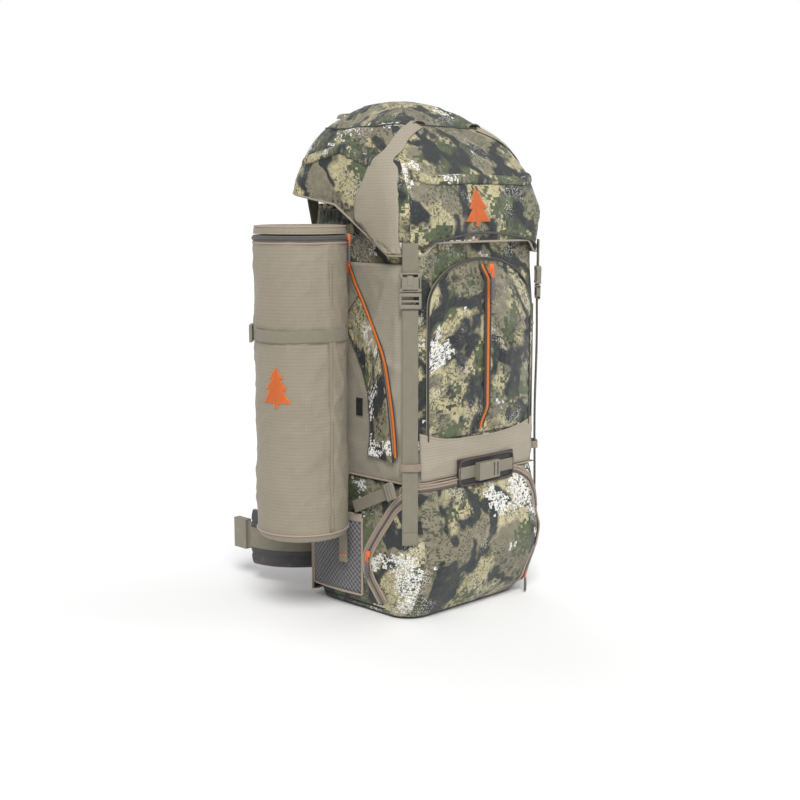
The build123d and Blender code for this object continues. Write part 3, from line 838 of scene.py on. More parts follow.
def line(a, b, n):
    """The points of a straight run in n equal steps, ends included."""
    return [Vector([lerp(p, q, i / n) for p, q in zip(a, b)]) for i in range(n + 1)]


def moulding(name, parts, axes, at, material, body):
    """Joined blocks, each (place for at(), size in mm, bevel in mm, taper if any)."""
    return join(name, [block_mesh(name, at(*place), axes, [s * MM for s in size], material, body,
                                  bevel * MM, *taper) for place, size, bevel, *taper in parts])


def panel(name, levels, place, nu, nv, out, material, body, thick=0.0, seed=0.0):
    """A panel on a shell: place(u, v) gives its arc length and height, out(...) its stand-off."""
    rows, uvs = [], []
    for j in range(nv + 1):
        row, uv = [], []
        for i in range(nu + 1):
            u, v = i / nu, j / nv
            s, z = place(u, v)
            row.append(on_shell(levels, z, s, out(u, v, s, z)))
            uv.append((s + seed, z + seed * SEED_LIFT))
        rows.append(row)
        uvs.append(uv)
    return grid(name, rows, uvs, material, body, thick=thick)


def surface(name, place, nu, nv, material, body, thick=0.0, seed=0.0):
    """A free sheet: place(u, v) gives its points; the UV keeps its true size."""
    rows = [[Vector(place(i / nu, j / nv)) for i in range(nu + 1)] for j in range(nv + 1)]
    us, vs = run_lengths(rows[nv // 2]), run_lengths([row[nu // 2] for row in rows])
    uvs = [[(u + seed, v + seed * SEED_LIFT) for u in us] for v in vs]
    return grid(name, rows, uvs, material, body, thick=thick)


def teeth(name, points, normal, body, material, width):
    """Rows of zip coil loops across a path, meeting along its centre."""
    pitch, high = 1.7 * MM, 1.1 * MM
    lengths = run_lengths(points)
    verts, faces = [], []
    k = 0
    for i in range(int(lengths[-1] / pitch)):
        d = (i + 0.5) * pitch
        while k < len(points) - 2 and lengths[k + 1] < d:
            k += 1
        t = (points[k + 1] - points[k]).normalized()
        p = points[k] + t * (d - lengths[k])
        up = Vector(normal(p) if callable(normal) else normal)
        side = t.cross(up).normalized()
        shift = 0.6 * MM if i % 2 else -0.6 * MM
        base = len(verts)
        for across, lift in ((-.5, .25), (-.3, 1), (.3, 1), (.5, .25)):
            q = p + side * (across * width + shift) + up * (high * lift)
            verts += [q + t * pitch * 0.34, q - t * pitch * 0.34]
        for j in range(3):
            a = base + 2 * j
            faces.append((a, a + 1, a + 3, a + 2))
    piece = make_mesh(name, verts, faces, [(0, 0)] * (4 * len(faces)), material, body)
    return thicken(piece, 0.5 * MM)


def zip_run(name, points, normal, body, tape, coil_mat, width=13 * MM, coil_w=4.6 * MM):
    """Woven tape with the coil's teeth and a stitch row along each edge."""
    up = normal if callable(normal) else (lambda p: Vector(normal))
    sides = frames_along(points, lambda i: Vector(up(points[i])).cross(
        points[min(i + 1, len(points) - 1)] - points[max(i - 1, 0)]))
    hints = [s for _, s, _ in sides]
    band = sweep(name, points, strap_profile(width, 0.9 * MM), lambda i: hints[i], tape, body)
    coil_points = [p + Vector(up(p)) * 0.5 * MM for p in points]
    sweep(name + "_core", coil_points, strap_profile(coil_w, 1.6 * MM), lambda i: hints[i],
          coil_mat, body)
    teeth(name + "_teeth", [p + Vector(up(p)) * 1.0 * MM for p in points], up, body, coil_mat, coil_w)
    for side in (-1, 1):
        edge = [p + h * side * (width / 2 - 2 * MM) + Vector(up(p)) * 0.6 * MM
                for p, h in zip(points, hints)]
        stitches(f"{name}_stitch_{'ab'[side > 0]}", edge, up, body, THREAD_DARK)
    return band


def path_on(levels, knots, out, count=60):
    """A path on a shell through (arc length, height) knots."""
    return [on_shell(levels, q[1], q[0], out) for q in spline([(a, b, 0) for a, b in knots], count)]


def shell_normal(levels):
    """The outward direction of a shell at the point of it nearest to p, as a function of p."""
    def normal(p):
        section = hermite(levels, p.z)
        total = perimeter(section)
        near = min((around(section, total * i / 72) for i in range(72)),
                   key=lambda place: (Vector((p.x, p.y)) - place[0]).length)
        return Vector((near[1].x, near[1].y, 0))
    return normal


def arc_of(levels, x, y, z):
    """Signed arc length of the nearest point on a shell, from the left front corner."""
    section = hermite(levels, z)
    total = perimeter(section)
    best = min(range(600), key=lambda i: (around(section, total * i / 600)[0] - Vector((x, y))).length)
    s = total * best / 600
    return s - total if s > total * 0.6 else s


def tree_of(piece):
    """The piece's surface, for laying other pieces on it."""
    mesh = piece.data
    return BVHTree.FromPolygons([v.co for v in mesh.vertices], [list(f.vertices) for f in mesh.polygons])


def seat(tree, p, out):
    """The nearest point of a surface, and out from it."""
    at, normal, _, _ = tree.find_nearest(Vector(p))
    if normal.dot(Vector(p) - Vector((0, .01, at.z - .03))) < 0:
        normal = -normal
    return at + normal * out, normal


def lay_on(tree, piece, out):
    """Lays a piece on a surface, with a little unevenness of its own."""
    for v in piece.data.vertices:
        extra = wrinkle(v.co.x * 15 + v.co.y * 9, v.co.z * 14, 3.3) * .5 * MM
        v.co = seat(tree, v.co, out + extra)[0]
    piece.data.update()


def pine(name, centre, across, out, body, bend):
    """An orange pine tree in satin stitch: three tiers and a trunk, laid on by bend(p)."""
    height = 62 * MM
    outline = [(0, 1), (.20, .72), (.10, .72), (.32, .44), (.18, .44), (.42, .12), (.07, .12),
               (.07, 0), (-.07, 0), (-.07, .12), (-.42, .12), (-.18, .44), (-.32, .44),
               (-.10, .72), (-.20, .72)]
    c, ax, ay, az = Vector(centre), Vector(across), Vector((0, 0, 1)), Vector(out)
    verts, faces = [], []
    pitch = 0.9 * MM
    rows = int(height / pitch)
    for j in range(rows):
        y = (j + 0.5) / rows
        xs = []
        for a, b in zip(outline, outline[1:] + outline[:1]):
            if (a[1] - y) * (b[1] - y) < 0:
                xs.append(a[0] + (b[0] - a[0]) * (y - a[1]) / (b[1] - a[1]))
        xs.sort()
        if len(xs) < 2:
            continue
        x0, x1 = xs[0] * height, xs[-1] * height
        n = max(2, int((x1 - x0) / (3 * MM)) + 1)
        base = len(verts)
        for i in range(n + 1):
            x = lerp(x0, x1, i / n)
            p = c + ax * x + ay * (y - 0.5) * height
            p, az = bend(p)
            edge = 0.2 if i in (0, n) else 1.0
            verts += [p - ay * pitch * 0.48, p + az * 0.8 * MM * edge, p + ay * pitch * 0.48]
        for i in range(n):
            a = base + 3 * i
            faces += [(a, a + 3, a + 4, a + 1), (a + 1, a + 4, a + 5, a + 2)]
    return make_mesh(name, verts, faces, [(0, 0)] * (4 * len(faces)), THREAD_ORANGE, body)


surfaces = {}            # the sewn surfaces that later pieces lie on


# ------------------------------------------------------------------ sewn body
def sewn_body():
    total_low = perimeter(hermite(LOWER, .11))

    def lower_out(s, z):
        edge = smooth(.004, .03, z) * smooth(.222, .200, z)
        crease = wrinkle(s * 7, z * 15, 4.2) * 4.8 + wrinkle(s * 22, z * 26, 9.0) * 1.8
        front = smooth(-.06, -.01, s if s < .4 else s - total_low) \
            * smooth(FRONT_ARC + .06, FRONT_ARC + .01, s if s < .4 else 0)
        return (1.0 + edge * (lerp(.5, 3.5, front) + crease * lerp(.35, 1, front))) * MM
    heights = [lerp(.0048, .222, i / 54) for i in range(55)]
    low = shell_ring("lower_bag", LOWER, heights, 4 * MM, lower_out, CAMO, "pack", 1.4 * MM, 0.3)
    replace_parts(low, "lower_compartment")
    surfaces["lower"] = tree_of(low)

    def sack_out(s, z):
        sag = wrinkle(s * 9 + z * 3, z * 9, 1.5) * 3.6 + wrinkle(s * 26, z * 22, 3.1) * 1.5 \
            + wrinkle(s * 24 - z * 7, z * 5, 8.4) * 2.6
        total = perimeter(hermite(SACK, .45))
        s = s if s < total - .03 else s - total
        hidden = smooth(-.03, .0, s) * smooth(FRONT_ARC + .03, FRONT_ARC, s)
        return (1.2 + smooth(.222, .25, z) * smooth(.562, .53, z) * sag * (1 - .9 * hidden)) * MM
    rows = [lerp(.2225, .560, i / 84) for i in range(85)]
    sack = shell_ring("sack_body", SACK, rows, 4 * MM, sack_out, SILVER, "pack", 1.2 * MM, 1.1)
    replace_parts(sack, "main_sack")

    panel("sack_shoulder", SACK, lambda u, v: (u, .5602 + .003 * v), 160, 4,
          lambda u, v, s, z: lerp(1.0, -14, v) * MM, TAN, "pack", 1 * MM)

    def gather(s, z):
        t = smooth(.60, .652, z)
        return (1.0 + t * (1.8 * math.sin(s * 620 + 2 * math.sin(s * 90)) + 1.0)
                + wrinkle(s * 14, z * 10, 7) * 1.5
                + 5.0 * smooth(.56, .60, z) * (1 - t)) * MM - t * 2 * MM
    rows = [lerp(.5605, .652, i / 26) for i in range(27)]
    collar = shell_ring("collar_cloth", COLLAR, rows, 2.6 * MM, gather, CAMO, "pack", 1 * MM, 2.2)
    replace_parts(collar, "extension_collar")

    draw_z, n = .6425, 150
    length = perimeter(hermite(COLLAR, draw_z))
    cord = cord_tube("drawcord", [on_shell(COLLAR, draw_z, length * i / n, 2.2 * MM) for i in range(n)],
                     1.5 * MM, HEM_CORD, "pack", closed=True)
    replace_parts(cord, "collar_drawcord")

    lo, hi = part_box("compartment_divider")
    sheet = surface("divider_sheet", lambda u, v: (
        lerp(lo.x, hi.x, u), lerp(lo.y, hi.y, v),
        lerp(lo.z, hi.z, .5) + .5 * MM * wrinkle(u * 4, v * 4, 2)), 40, 30, INSIDE, "pack", .8 * MM)
    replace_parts(sheet, "compartment_divider")

    # base: black coated cloth, flat from its middle outwards, then turned up round the edge
    section = hermite(LOWER, .0042)
    total = perimeter(section)
    edge = [around(section, total * i / 120) for i in range(120)]
    rows = []
    for j in range(12):
        k = min(1.0, 0.04 + j * 0.08)
        rows.append([Vector((p.x * k, (p.y + .007) * k - .007, .0006)) for p, _ in edge])
    for z, out in ((.004, 0.5 * MM), (.013, 3.0 * MM)):
        rows.append([Vector((p.x + nrm.x * out, p.y + nrm.y * out, z)) for p, nrm in edge])
    uvs = [[(total * i / 120, j * 9 * MM) for i in range(121)] for j in range(14)]
    base = grid("base_cloth", rows, uvs, BLACK_CLOTH, "pack", closed=True, thick=2.0 * MM)
    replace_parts(base, "base_panel")


def seam_lines():
    """Piping along the lower bag's top seam, and the zip round its arch with piping along both sides."""
    normal = shell_normal(LOWER)
    total = perimeter(hermite(SACK, .2235))
    ring = [on_shell(SACK, .2245, total * i / 180, 3.4 * MM) for i in range(180)]
    cord_tube("waist_piping", ring, 1.7 * MM, BINDING, "pack", closed=True)

    # the zip's knots in mm: up the left side, across the front and down its right edge
    side = [(-148, y, z) for y, z in ((-66, 22), (-36, 89), (-82, 163), (-124, 203), (-137, 212))]
    front = [(x, -150, z) for x, z in ((40, 214), (92, 212), (122, 170), (127, 100), (118, 22))]
    knots = [(arc_of(LOWER, x * MM, y * MM, z * MM), z * MM) for x, y, z in side + front]
    path = [seat(surfaces["lower"], p, .9 * MM)[0] for p in path_on(LOWER, knots, 4.0 * MM, 190)]
    for _ in range(6):
        inside = zip(path, path[1:], path[2:])
        path = [path[0]] + [(a + b * 2 + c) / 4 for a, b, c in inside] + [path[-1]]
    path = [seat(surfaces["lower"], p, 1.0 * MM)[0] for p in path]
    band = zip_run("lower_bag_zip", path, normal, "pack", BINDING, GREY_COIL, width=15 * MM,
                   coil_w=4 * MM)
    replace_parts(band, "lower_zip")
    for k, shift in (("outer", 8.5), ("inner", -8.5)):
        rail = []
        for i, p in enumerate(path):
            t = (path[min(i + 1, len(path) - 1)] - path[max(i - 1, 0)]).normalized()
            across = t.cross(normal(p)).normalized()
            rail.append(p + across * shift * MM + normal(p) * 0.6 * MM)
        cord_tube(f"lower_zip_piping_{k}", rail, 1.5 * MM, BINDING, "pack")


sewn_body()
seam_lines()


# ------------------------------------------------------------------ front of the pack
def lock_spring():
    """The cord lock's coil spring, which shortens as its button goes in."""
    lo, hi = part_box("cord_lock_spring")
    wire, turns, steps = .35 * MM, 7, 168
    radius = (hi.x - lo.x) / 2 - wire
    points = []
    for i in range(steps + 1):
        angle = 2 * math.pi * turns * i / steps
        points.append(Vector(((lo.x + hi.x) / 2 + radius * math.cos(angle),
                              (lo.y + hi.y) / 2 + radius * math.sin(angle),
                              lerp(lo.z + wire, hi.z - wire, i / steps))))
    coil_wire = cord_tube("cord_lock_coil", points, wire, STEEL, "pack", n=6)
    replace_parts(coil_wire, "cord_lock_spring")
    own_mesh(coil_wire)


def front_parts():
    def camo_out(u, v, s, z):
        return (2.4 + wrinkle(s * 9, z * 9, 5.0) * 1.6) * MM
    panel("front_camo", SACK, lambda u, v: (lerp(.004, FRONT_ARC - .004, u), lerp(.275, .600, v)),
          72, 76, camo_out, CAMO, "pack", 1 * MM, 3.1)

    def yoke_place(u, v):
        flare = 18 * MM * (abs(2 * u - 1) ** 3)
        return lerp(.010, FRONT_ARC - .010, u), lerp(.2275, .286 + flare, v)

    def yoke_out(u, v, s, z):
        return (4.2 + 1.6 * smooth(0, .3, v) + wrinkle(s * 8 + z * 7, z * 20, 2.0) * 2.8) * MM
    yoke = panel("front_yoke_cloth", SACK, yoke_place, 72, 20, yoke_out, TAN, "pack", 1 * MM, 4.4)
    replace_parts(yoke, "front_yoke")
    for k, v in (("top", .96), ("low", .06)):
        row = []
        for i in range(71):
            s, z = yoke_place(i / 70, v)
            row.append(on_shell(SACK, z, s, yoke_out(i / 70, v, s, z) + .3 * MM))
        stitches(f"yoke_stitch_{k}", row, (0, -1, 0), "pack")

    # pocket: two domed halves either side of the zip, under a bound arch
    half, shoulder, top, bottom = .120, .493, .568, .290

    def crown(x):
        return shoulder + (top - shoulder) * math.sqrt(max(0.0, 1 - (x / half) ** 2) + 1e-9)

    def pocket(u, v):
        w = 2 * u - 1
        x = half * w
        z = lerp(bottom, crown(x), v)
        gap = smooth(.0, .10, abs(w))
        dome = (1 - abs(w) ** 3.0) * smooth(0, .20, v) * smooth(1.0, .80, v)
        folds = wrinkle(x * 13, z * 11, 6.4) * 3.2 + wrinkle(x * 34, z * 20, 2.4) * 1.3
        valley = (1 - gap) * 1.6
        y = -.1405 - (dome * (12.5 + folds * gap) - valley) * MM
        return x, y, z
    cloth = surface("front_pocket_cloth", pocket, 88, 92, CAMO, "pack", 0, 5.5)
    columns = 89
    pins = set(border(93, columns))
    for j in range(93):
        pins |= {j * columns + i for i in range(42, 47)}
    inflate(cloth, sorted(pins), 3.0, 3.2 * MM, frames=10, grow=.05, stiffness=8, bending=.2)
    thicken(cloth, 1.2 * MM)
    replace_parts(cloth, "front_pocket")

    arch = [(-half, bottom, 0), (-half, shoulder - .03, 0)] \
        + [(-half * k, crown(-half * k), 0) for k in (.96, .7, .35)] + [(0, top, 0)]
    left = [curve_at(arch, i / 70) for i in range(70)]
    right = [curve_at([(-x, z, 0) for x, z, _ in reversed(arch)], i / 70) for i in range(71)]
    edge = [Vector((q[0], -.1412, q[1])) for q in left + right]
    cord_tube("pocket_piping", edge, 1.9 * MM, PIPING, "pack")
    gusset_rows = []
    for out, y in ((0, -.1372), (1.5, -.1392), (0, -.1412)):
        gusset_rows.append([Vector((p.x * (1 + out * .006), y, p.z)) for p in edge])
    grid("pocket_gusset", gusset_rows,
         [[(i * 6 * MM, j * 3 * MM) for i in range(142)] for j in range(3)],
         TAN, "pack", thick=.8 * MM)

    zip_path = [Vector((0, -.1556 + 14.0 * MM * (1 - smooth(0, .16, i / 80) * smooth(1, .90, i / 80)),
                        lerp(.298, .559, i / 80))) for i in range(81)]
    band = zip_run("front_zip_run", zip_path, (0, -1, 0), "pack", PIPING, ORANGE_COIL,
                   width=10 * MM, coil_w=5.0 * MM)
    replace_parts(band, "front_zip")
    for side in (-1, 1):
        fold = [p + Vector((side * 6.2 * MM, .2 * MM, 0)) for p in zip_path]
        webbing(f"front_zip_welt_{'ab'[side > 0]}", fold, 3.6 * MM, (1, 0, 0), "pack", PIPING, 2.2 * MM)

    # rubber patch with its raised rim, held by the strap across it
    lo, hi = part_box("front_patch")
    patch = surface("patch_face", lambda u, v: (
        lerp(lo.x, hi.x, u), lo.y + 1.2 * MM * (abs(2 * u - 1) ** 6 + abs(2 * v - 1) ** 6) / 2,
        lerp(lo.z, hi.z, v)), 40, 16, RUBBER, "pack", 2.2 * MM, 0.2)
    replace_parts(patch, "front_patch")
    w, h = (hi.x - lo.x) / 2 - 2 * MM, (hi.z - lo.z) / 2 - 2 * MM
    cx, cz = (lo.x + hi.x) / 2, (lo.z + hi.z) / 2
    loop = []
    for i in range(96):
        a = 2 * math.pi * i / 96
        c, s = math.cos(a), math.sin(a)
        loop.append(Vector((cx + w * math.copysign(abs(c) ** .25, c), lo.y - .6 * MM,
                            cz + h * math.copysign(abs(s) ** .25, s))))
    cord_tube("patch_rim", loop, 1.6 * MM, PURPLE, "pack", closed=True)
    strap_lo, strap_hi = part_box("patch_strap")
    y = (strap_lo.y + strap_hi.y) / 2
    run = line((strap_lo.x, y, cz), (strap_hi.x, y, cz), 40)
    strap = webbing("patch_strap_web", run, 19.6 * MM, (0, 0, 1), "pack", None, 1.4 * MM)
    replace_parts(strap, "patch_strap")
    show(PLASTIC_BODY, "patch_buckle_female", "patch_buckle_male", "cord_lock_body", "cord_lock_button")
    lock_spring()
    show(STAY, "frame_stays")
    show(BLACK_PLASTIC, "frame_sheet")


front_parts()


def slider(node, out):
    """A die-cast slider, its cord loop and a ribbed grip hanging from it."""
    lo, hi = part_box(node)
    c = (lo + hi) / 2
    axes = (Vector((0, 0, 1)).cross(out), Vector((0, 0, 1)), out)
    top = hi.z - 7 * MM

    def at(z, lift=0.0, side=0.0):
        return Vector((c.x, c.y, z)) + out * lift * MM + axes[0] * side * MM
    metal_parts = moulding("slider", [((top, -.8), (9.5, 11, 2.6), 1.0, .85),
                                      ((top + .5 * MM, .9), (3.2, 8, 2.4), .8)],
                           axes, at, ORANGE_METAL, node)
    loop = spline([at(top - .017, .6, -1.3), at(top - .009, .9, -1.8), at(top + .001, 1.2),
                   at(top - .009, .9, 1.8), at(top - .017, .6, 1.3)], 20)
    cord = cord_tube("loop", loop, 1.0 * MM, ORANGE_CORD, node)
    low, high = lo.z + .0006, top - .013
    ribs = [((low + .003 + i * .004, .6), (6.9, 1.6, 3.8), .5) for i in range(4)]
    grip = moulding("grip", [(((low + high) / 2, .6), (6.2, (high - low) / MM, 3.2), 1.2)] + ribs,
                    axes, at, GRIP, node)
    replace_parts(join(node + "_pull", [metal_parts, cord, grip]), node)


def front_pull():
    """The front zip's hanging pull: a longer grip with more ribs, on its own body."""
    node = "front_zip_pull"
    lo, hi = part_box(node)
    c = (lo + hi) / 2
    grip_top = lo.z + .034

    def at(z, side=0.0):
        return Vector((c.x + side * MM, c.y, z))
    ribs = [((lo.z + .006 + i * .0045,), (8.3, 1.8, 4.6), .5) for i in range(6)]
    grip = moulding("grip", [((lo.z + .017,), (7.5, 34, 4.0), 1.4)] + ribs,
                    ((1, 0, 0), (0, 0, 1), (0, -1, 0)), at, GRIP, node)
    loop = spline([at(grip_top - .004, -1.4), at(grip_top + .007, -1.9), at(hi.z - .0014),
                   at(grip_top + .007, 1.9), at(grip_top - .004, 1.4)], 22)
    cord = cord_tube("loop", loop, 1.1 * MM, ORANGE_CORD, node)
    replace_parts(join(node + "_cord", [grip, cord]), node)


def pulls():
    """The front zip's slider stays as made; every other one gets its cord loop and grip."""
    show(ORANGE_METAL, "front_zip_slider")
    front_pull()
    for node, out in (("side_slider_left", (-1, 0, 0)), ("side_slider_right", (1, 0, 0)),
                      ("lower_slider_left", (-1, 0, 0)), ("lower_slider_right", (.42, -.9, 0)),
                      ("tube_slider", (K, -K, 0))):
        slider(node, Vector(out).normalized())


pulls()


# ------------------------------------------------------------------ sides
def side_parts():
    front = [(-.100, .256), (-.094, .305), (-.088, .350), (-.078, .398), (-.066, .440), (-.047, .477),
             (-.024, .510)]
    rear = [(-.044, .262), (-.049, .290), (-.049, .320), (-.046, .345), (-.042, .368), (-.020, .420),
            (.010, .470)]
    skin_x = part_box("side_panel_left")[0].x

    def wing(u, v):
        a = curve_at([(y, z, 0) for y, z in front], v)
        b = curve_at([(y, z, 0) for y, z in rear], v)
        y, z = lerp(a[0], b[0], u), lerp(a[1], b[1], u)
        puff = 3.0 * math.sin(math.pi * u) * math.sin(math.pi * min(1, v * 1.1 + .02))
        return (skin_x - (.4 + puff + wrinkle(y * 20, z * 12, 8) * 1.2) * MM, y, z)
    cloth = surface("side_wing_left", wing, 26, 72, CAMO, "pack", 0, 6.1)
    inflate(cloth, border(73, 27), 2.0, 2.0 * MM, frames=8, grow=.03)
    thicken(cloth, 1.4 * MM)
    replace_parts(cloth, "side_panel_left")
    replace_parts(mirror(cloth), "side_panel_right")
    outline = [wing(0, i / 60) for i in range(61)] + [wing(i / 10, 1) for i in range(1, 11)] \
        + [wing(1, 1 - i / 60) for i in range(1, 61)]
    edge = cord_tube("side_wing_piping_left", [Vector(p) for p in outline], 1.7 * MM, PIPING, "pack")
    mirror(edge)

    arc = [Vector((-.1552, y * MM, z * MM)) for y, z in ((2, 566), (-16, 531), (-33, 503), (-58, 459),
                                                         (-80, 415), (-92, 366), (-101, 315), (-106, 264))]
    path = spline([tuple(p) for p in arc], 100)
    band = zip_run("side_zip_run_left", path, (-1, 0, 0), "pack", PIPING, ORANGE_COIL,
                   width=9 * MM, coil_w=5 * MM)
    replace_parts(band, "side_zip_left")
    twin = mirror(band)
    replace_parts(twin, "side_zip_right")
    for part in ("_core", "_teeth"):
        mirror(bpy.data.objects["side_zip_run_left" + part])
    welt = webbing("side_zip_welt_left", [p + Vector((.9 * MM, 9 * MM, 5 * MM)) for p in path], 9 * MM,
                   (0, 1, .4), "pack", BINDING, 2 * MM)
    mirror(welt)

    # stretch mesh pocket: a real net of cords under a bound top edge
    net_front, net_wide, net_low, net_high = -.024, .116, .030, .153

    def net(a, z):
        y = net_front + net_wide * a
        bulge = math.sin(math.pi * a) ** .6 * (.6 + .4 * math.sin(math.pi * min(1, (z - .028) / .14)))
        return Vector((-.1500 - bulge * 9.5 * MM, y, z))
    strands = []
    pitch = 8.0 * MM
    for i in range(-16, int(net_wide / pitch) + 1):
        for sign, start in ((1, 0), (-1, .128)):
            pts = []
            for j in range(33):
                z = lerp(net_low, net_high, j / 32)
                a = (i * pitch + (z - net_low) * .9 * sign + start) / net_wide
                if 0 <= a <= 1:
                    pts.append(net(a, z))
            if len(pts) > 3:
                strands.append(cord_tube("strand", pts, .55 * MM, NET, "pack", n=4))
    mesh = join("mesh_pocket_net_left", strands)
    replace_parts(mesh, "mesh_pocket_left")
    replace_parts(mirror(mesh), "mesh_pocket_right")
    back = surface("mesh_pocket_back_left", lambda u, v: net(u, lerp(net_low, net_high, v)) +
                   Vector((2.2 * MM, 0, 0)), 24, 24, GREY_TAPE, "pack", .6 * MM)
    mirror(back)
    top = webbing("mesh_binding_left", [net(i / 40, .155) for i in range(41)], 14 * MM,
                  (0, 0, 1), "pack",
                  TAN, 2.2 * MM)
    mirror(top)
    frame_pts = [net(0, lerp(.155, .030, i / 20)) for i in range(21)] \
        + [net(i / 20, .028) for i in range(21)] + [net(1, lerp(.030, .155, i / 20)) for i in range(21)]
    edge = cord_tube("mesh_edge_left", frame_pts, 1.9 * MM, BINDING, "pack")
    mirror(edge)

    # compression strap with a ladder lock
    run = line((-.1568, -.012, .172), (-.1568, -.106, .215), 40)
    strap = webbing("compression_web_left", run, WEB_20, (0, .42, .91), "pack", None, 1.5 * MM)
    along, across = (0, -.91, .416), (0, .416, .91)

    def on_strap(x, k):
        return x, -.098 + along[1] * k * MM, .2115 + along[2] * k * MM
    bars = [((-.1628, k), (2.2, 26, 2.0), .7) for k in (-6, 0, 6)]
    lock = moulding("ladder_lock_left", [((-.1605, 0), (22, 28, 4.2), 1.2)] + bars,
                    (along, across, (-1, 0, 0)), on_strap, PLASTIC, "pack")
    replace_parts(strap, "compression_strap_left")
    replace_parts(mirror(strap), "compression_strap_right")
    mirror(lock)

    label = surface("side_label", lambda u, v: (
        -.1556 - .4 * MM * math.sin(3 * v), lerp(-.018, -.032, u), lerp(.322, .350, v)),
        10, 16, BLACK_CLOTH, "pack", .8 * MM)


side_parts()


# ------------------------------------------------------------------ hood straps and buckles
def corner(d, z, across=0.0):
    """A point out from the left front corner, across the strap that hangs there."""
    side = 13 * MM + across
    return Vector((-K * d - K * side, -K * d + K * side, z))


def tack(name, place, z, rise, material, length=2.2 * MM, radius=.32 * MM):
    """A zigzag bar tack across a hood strap."""
    zig = [corner(place, z + rise * (i % 2), lerp(-11, 11, i / 26) * MM) for i in range(27)]
    return stitches(name, zig, (-K, -K, 0), "pack", material, 1.9 * MM, length, radius)


def hood_straps():
    side = (-K, K, 0)
    under_at, tuck_at, tab_at = .1915, .2012, .2000
    tail = [corner(.1992 + .0008 * math.sin(9 * i / 60), lerp(.496, .132, i / 60)) for i in range(61)]
    strap = webbing("hood_strap_under_left", line(corner(under_at, .488), corner(under_at, .246), 60),
                    WEB_25, side, "pack")
    flap = webbing("hood_strap_tail_left", tail, WEB_25, side, "pack")
    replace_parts(strap, "hood_strap_left")
    tuck = webbing("hood_strap_hem_left", line(corner(tuck_at, .150), corner(tuck_at, .130), 6),
                   WEB_25, side, "pack")
    wrap = ((0, -15), (5, -15.6), (10.5, -14), (11.4, 0), (10.5, 14), (5, 15.6), (0, 15))
    keeper = webbing("hood_strap_keeper_left",
                     [corner(under_at + d * MM, .252, a * MM) for d, a in wrap],
                     12 * MM, (0, 0, 1), "pack", WEBBING_TAN)
    low = tack("hood_strap_tack_left", .2004, .1385, .0028, THREAD_ORANGE, 1.8 * MM, .45 * MM)
    high = tack("hood_strap_tack_upper_left", .1930, .4545, .0035, THREAD)
    for piece in (flap, tuck, keeper, low, high):
        mirror(piece)
    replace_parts(mirror(strap), "hood_strap_right")

    axes = ((-K, K, 0), (0, 0, 1), (-K, -K, 0))

    def at(d, z, a=0.0):
        return corner(d * MM, z, a * MM)

    # male half: body, cross bars and three prongs; it rides down on its own body
    body = "hood_buckle_male_left"
    male = moulding("hood_buckle_male_part_left", [
        ((200, .4985), (34, 6.5, 7), 1.6), ((200, .5165), (34, 6.0, 7.6), 1.6),
        ((200, .5075, -15), (4, 22, 7), 1.2), ((200, .5075, 15), (4, 22, 7), 1.2),
        ((201.5, .5070), (28, 3.6, 3.6), 1.2),
        ((200, .5290, -11.5), (4.2, 20, 3.6), 1.0, .92), ((200, .5290, 0), (3.0, 20, 3.6), 1.0, .92),
        ((200, .5290, 11.5), (4.2, 20, 3.6), 1.0, .92)], axes, at, PLASTIC, body)
    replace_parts(male, body)
    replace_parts(mirror(male, "hood_buckle_male_right"), "hood_buckle_male_right")

    # female half: waisted shell with side windows and a loop bar for the hood's tab
    female = moulding("hood_buckle_female_part_left", [
        ((203.4, .5360), (25, 28, 2.6), .9), ((196.6, .5360), (25, 28, 2.6), .9),
        ((200, .5235), (34, 5.4, 9.4), 1.4), ((200, .5455), (34, 9.0, 9.4), 2.4),
        ((200, .5350, -15.4), (2.2, 20, 6), .8), ((200, .5350, 15.4), (2.2, 20, 6), .8),
        ((205.0, .5380), (9, 15, 1.4), .6)], axes, at, PLASTIC, "hood")
    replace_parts(female, "hood_buckle_female_left")
    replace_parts(mirror(female), "hood_buckle_female_right")
    tab = webbing("hood_tab_left", line(corner(tab_at, .546), corner(tab_at, .594), 12), WEB_25, side,
                  "hood", None, 2.4 * MM)
    mirror(tab)


hood_straps()


# ------------------------------------------------------------------ hood
CROWN_SEAM = .7705       # height of the seam round the crown's cloth
CROWN_Y = .035           # where the crown's rows close in


def hem_height(x, y):
    """Height of the hood's lower edge: low at the front corners, high behind."""
    front = lerp(.593, .574, smooth(.108, .130, abs(x)))
    if y < -.100:
        return front
    if y < .017:
        return lerp(.574, .650, (y + .100) / .117)
    return lerp(.650, .668, min(1.0, (y - .017) / .11))


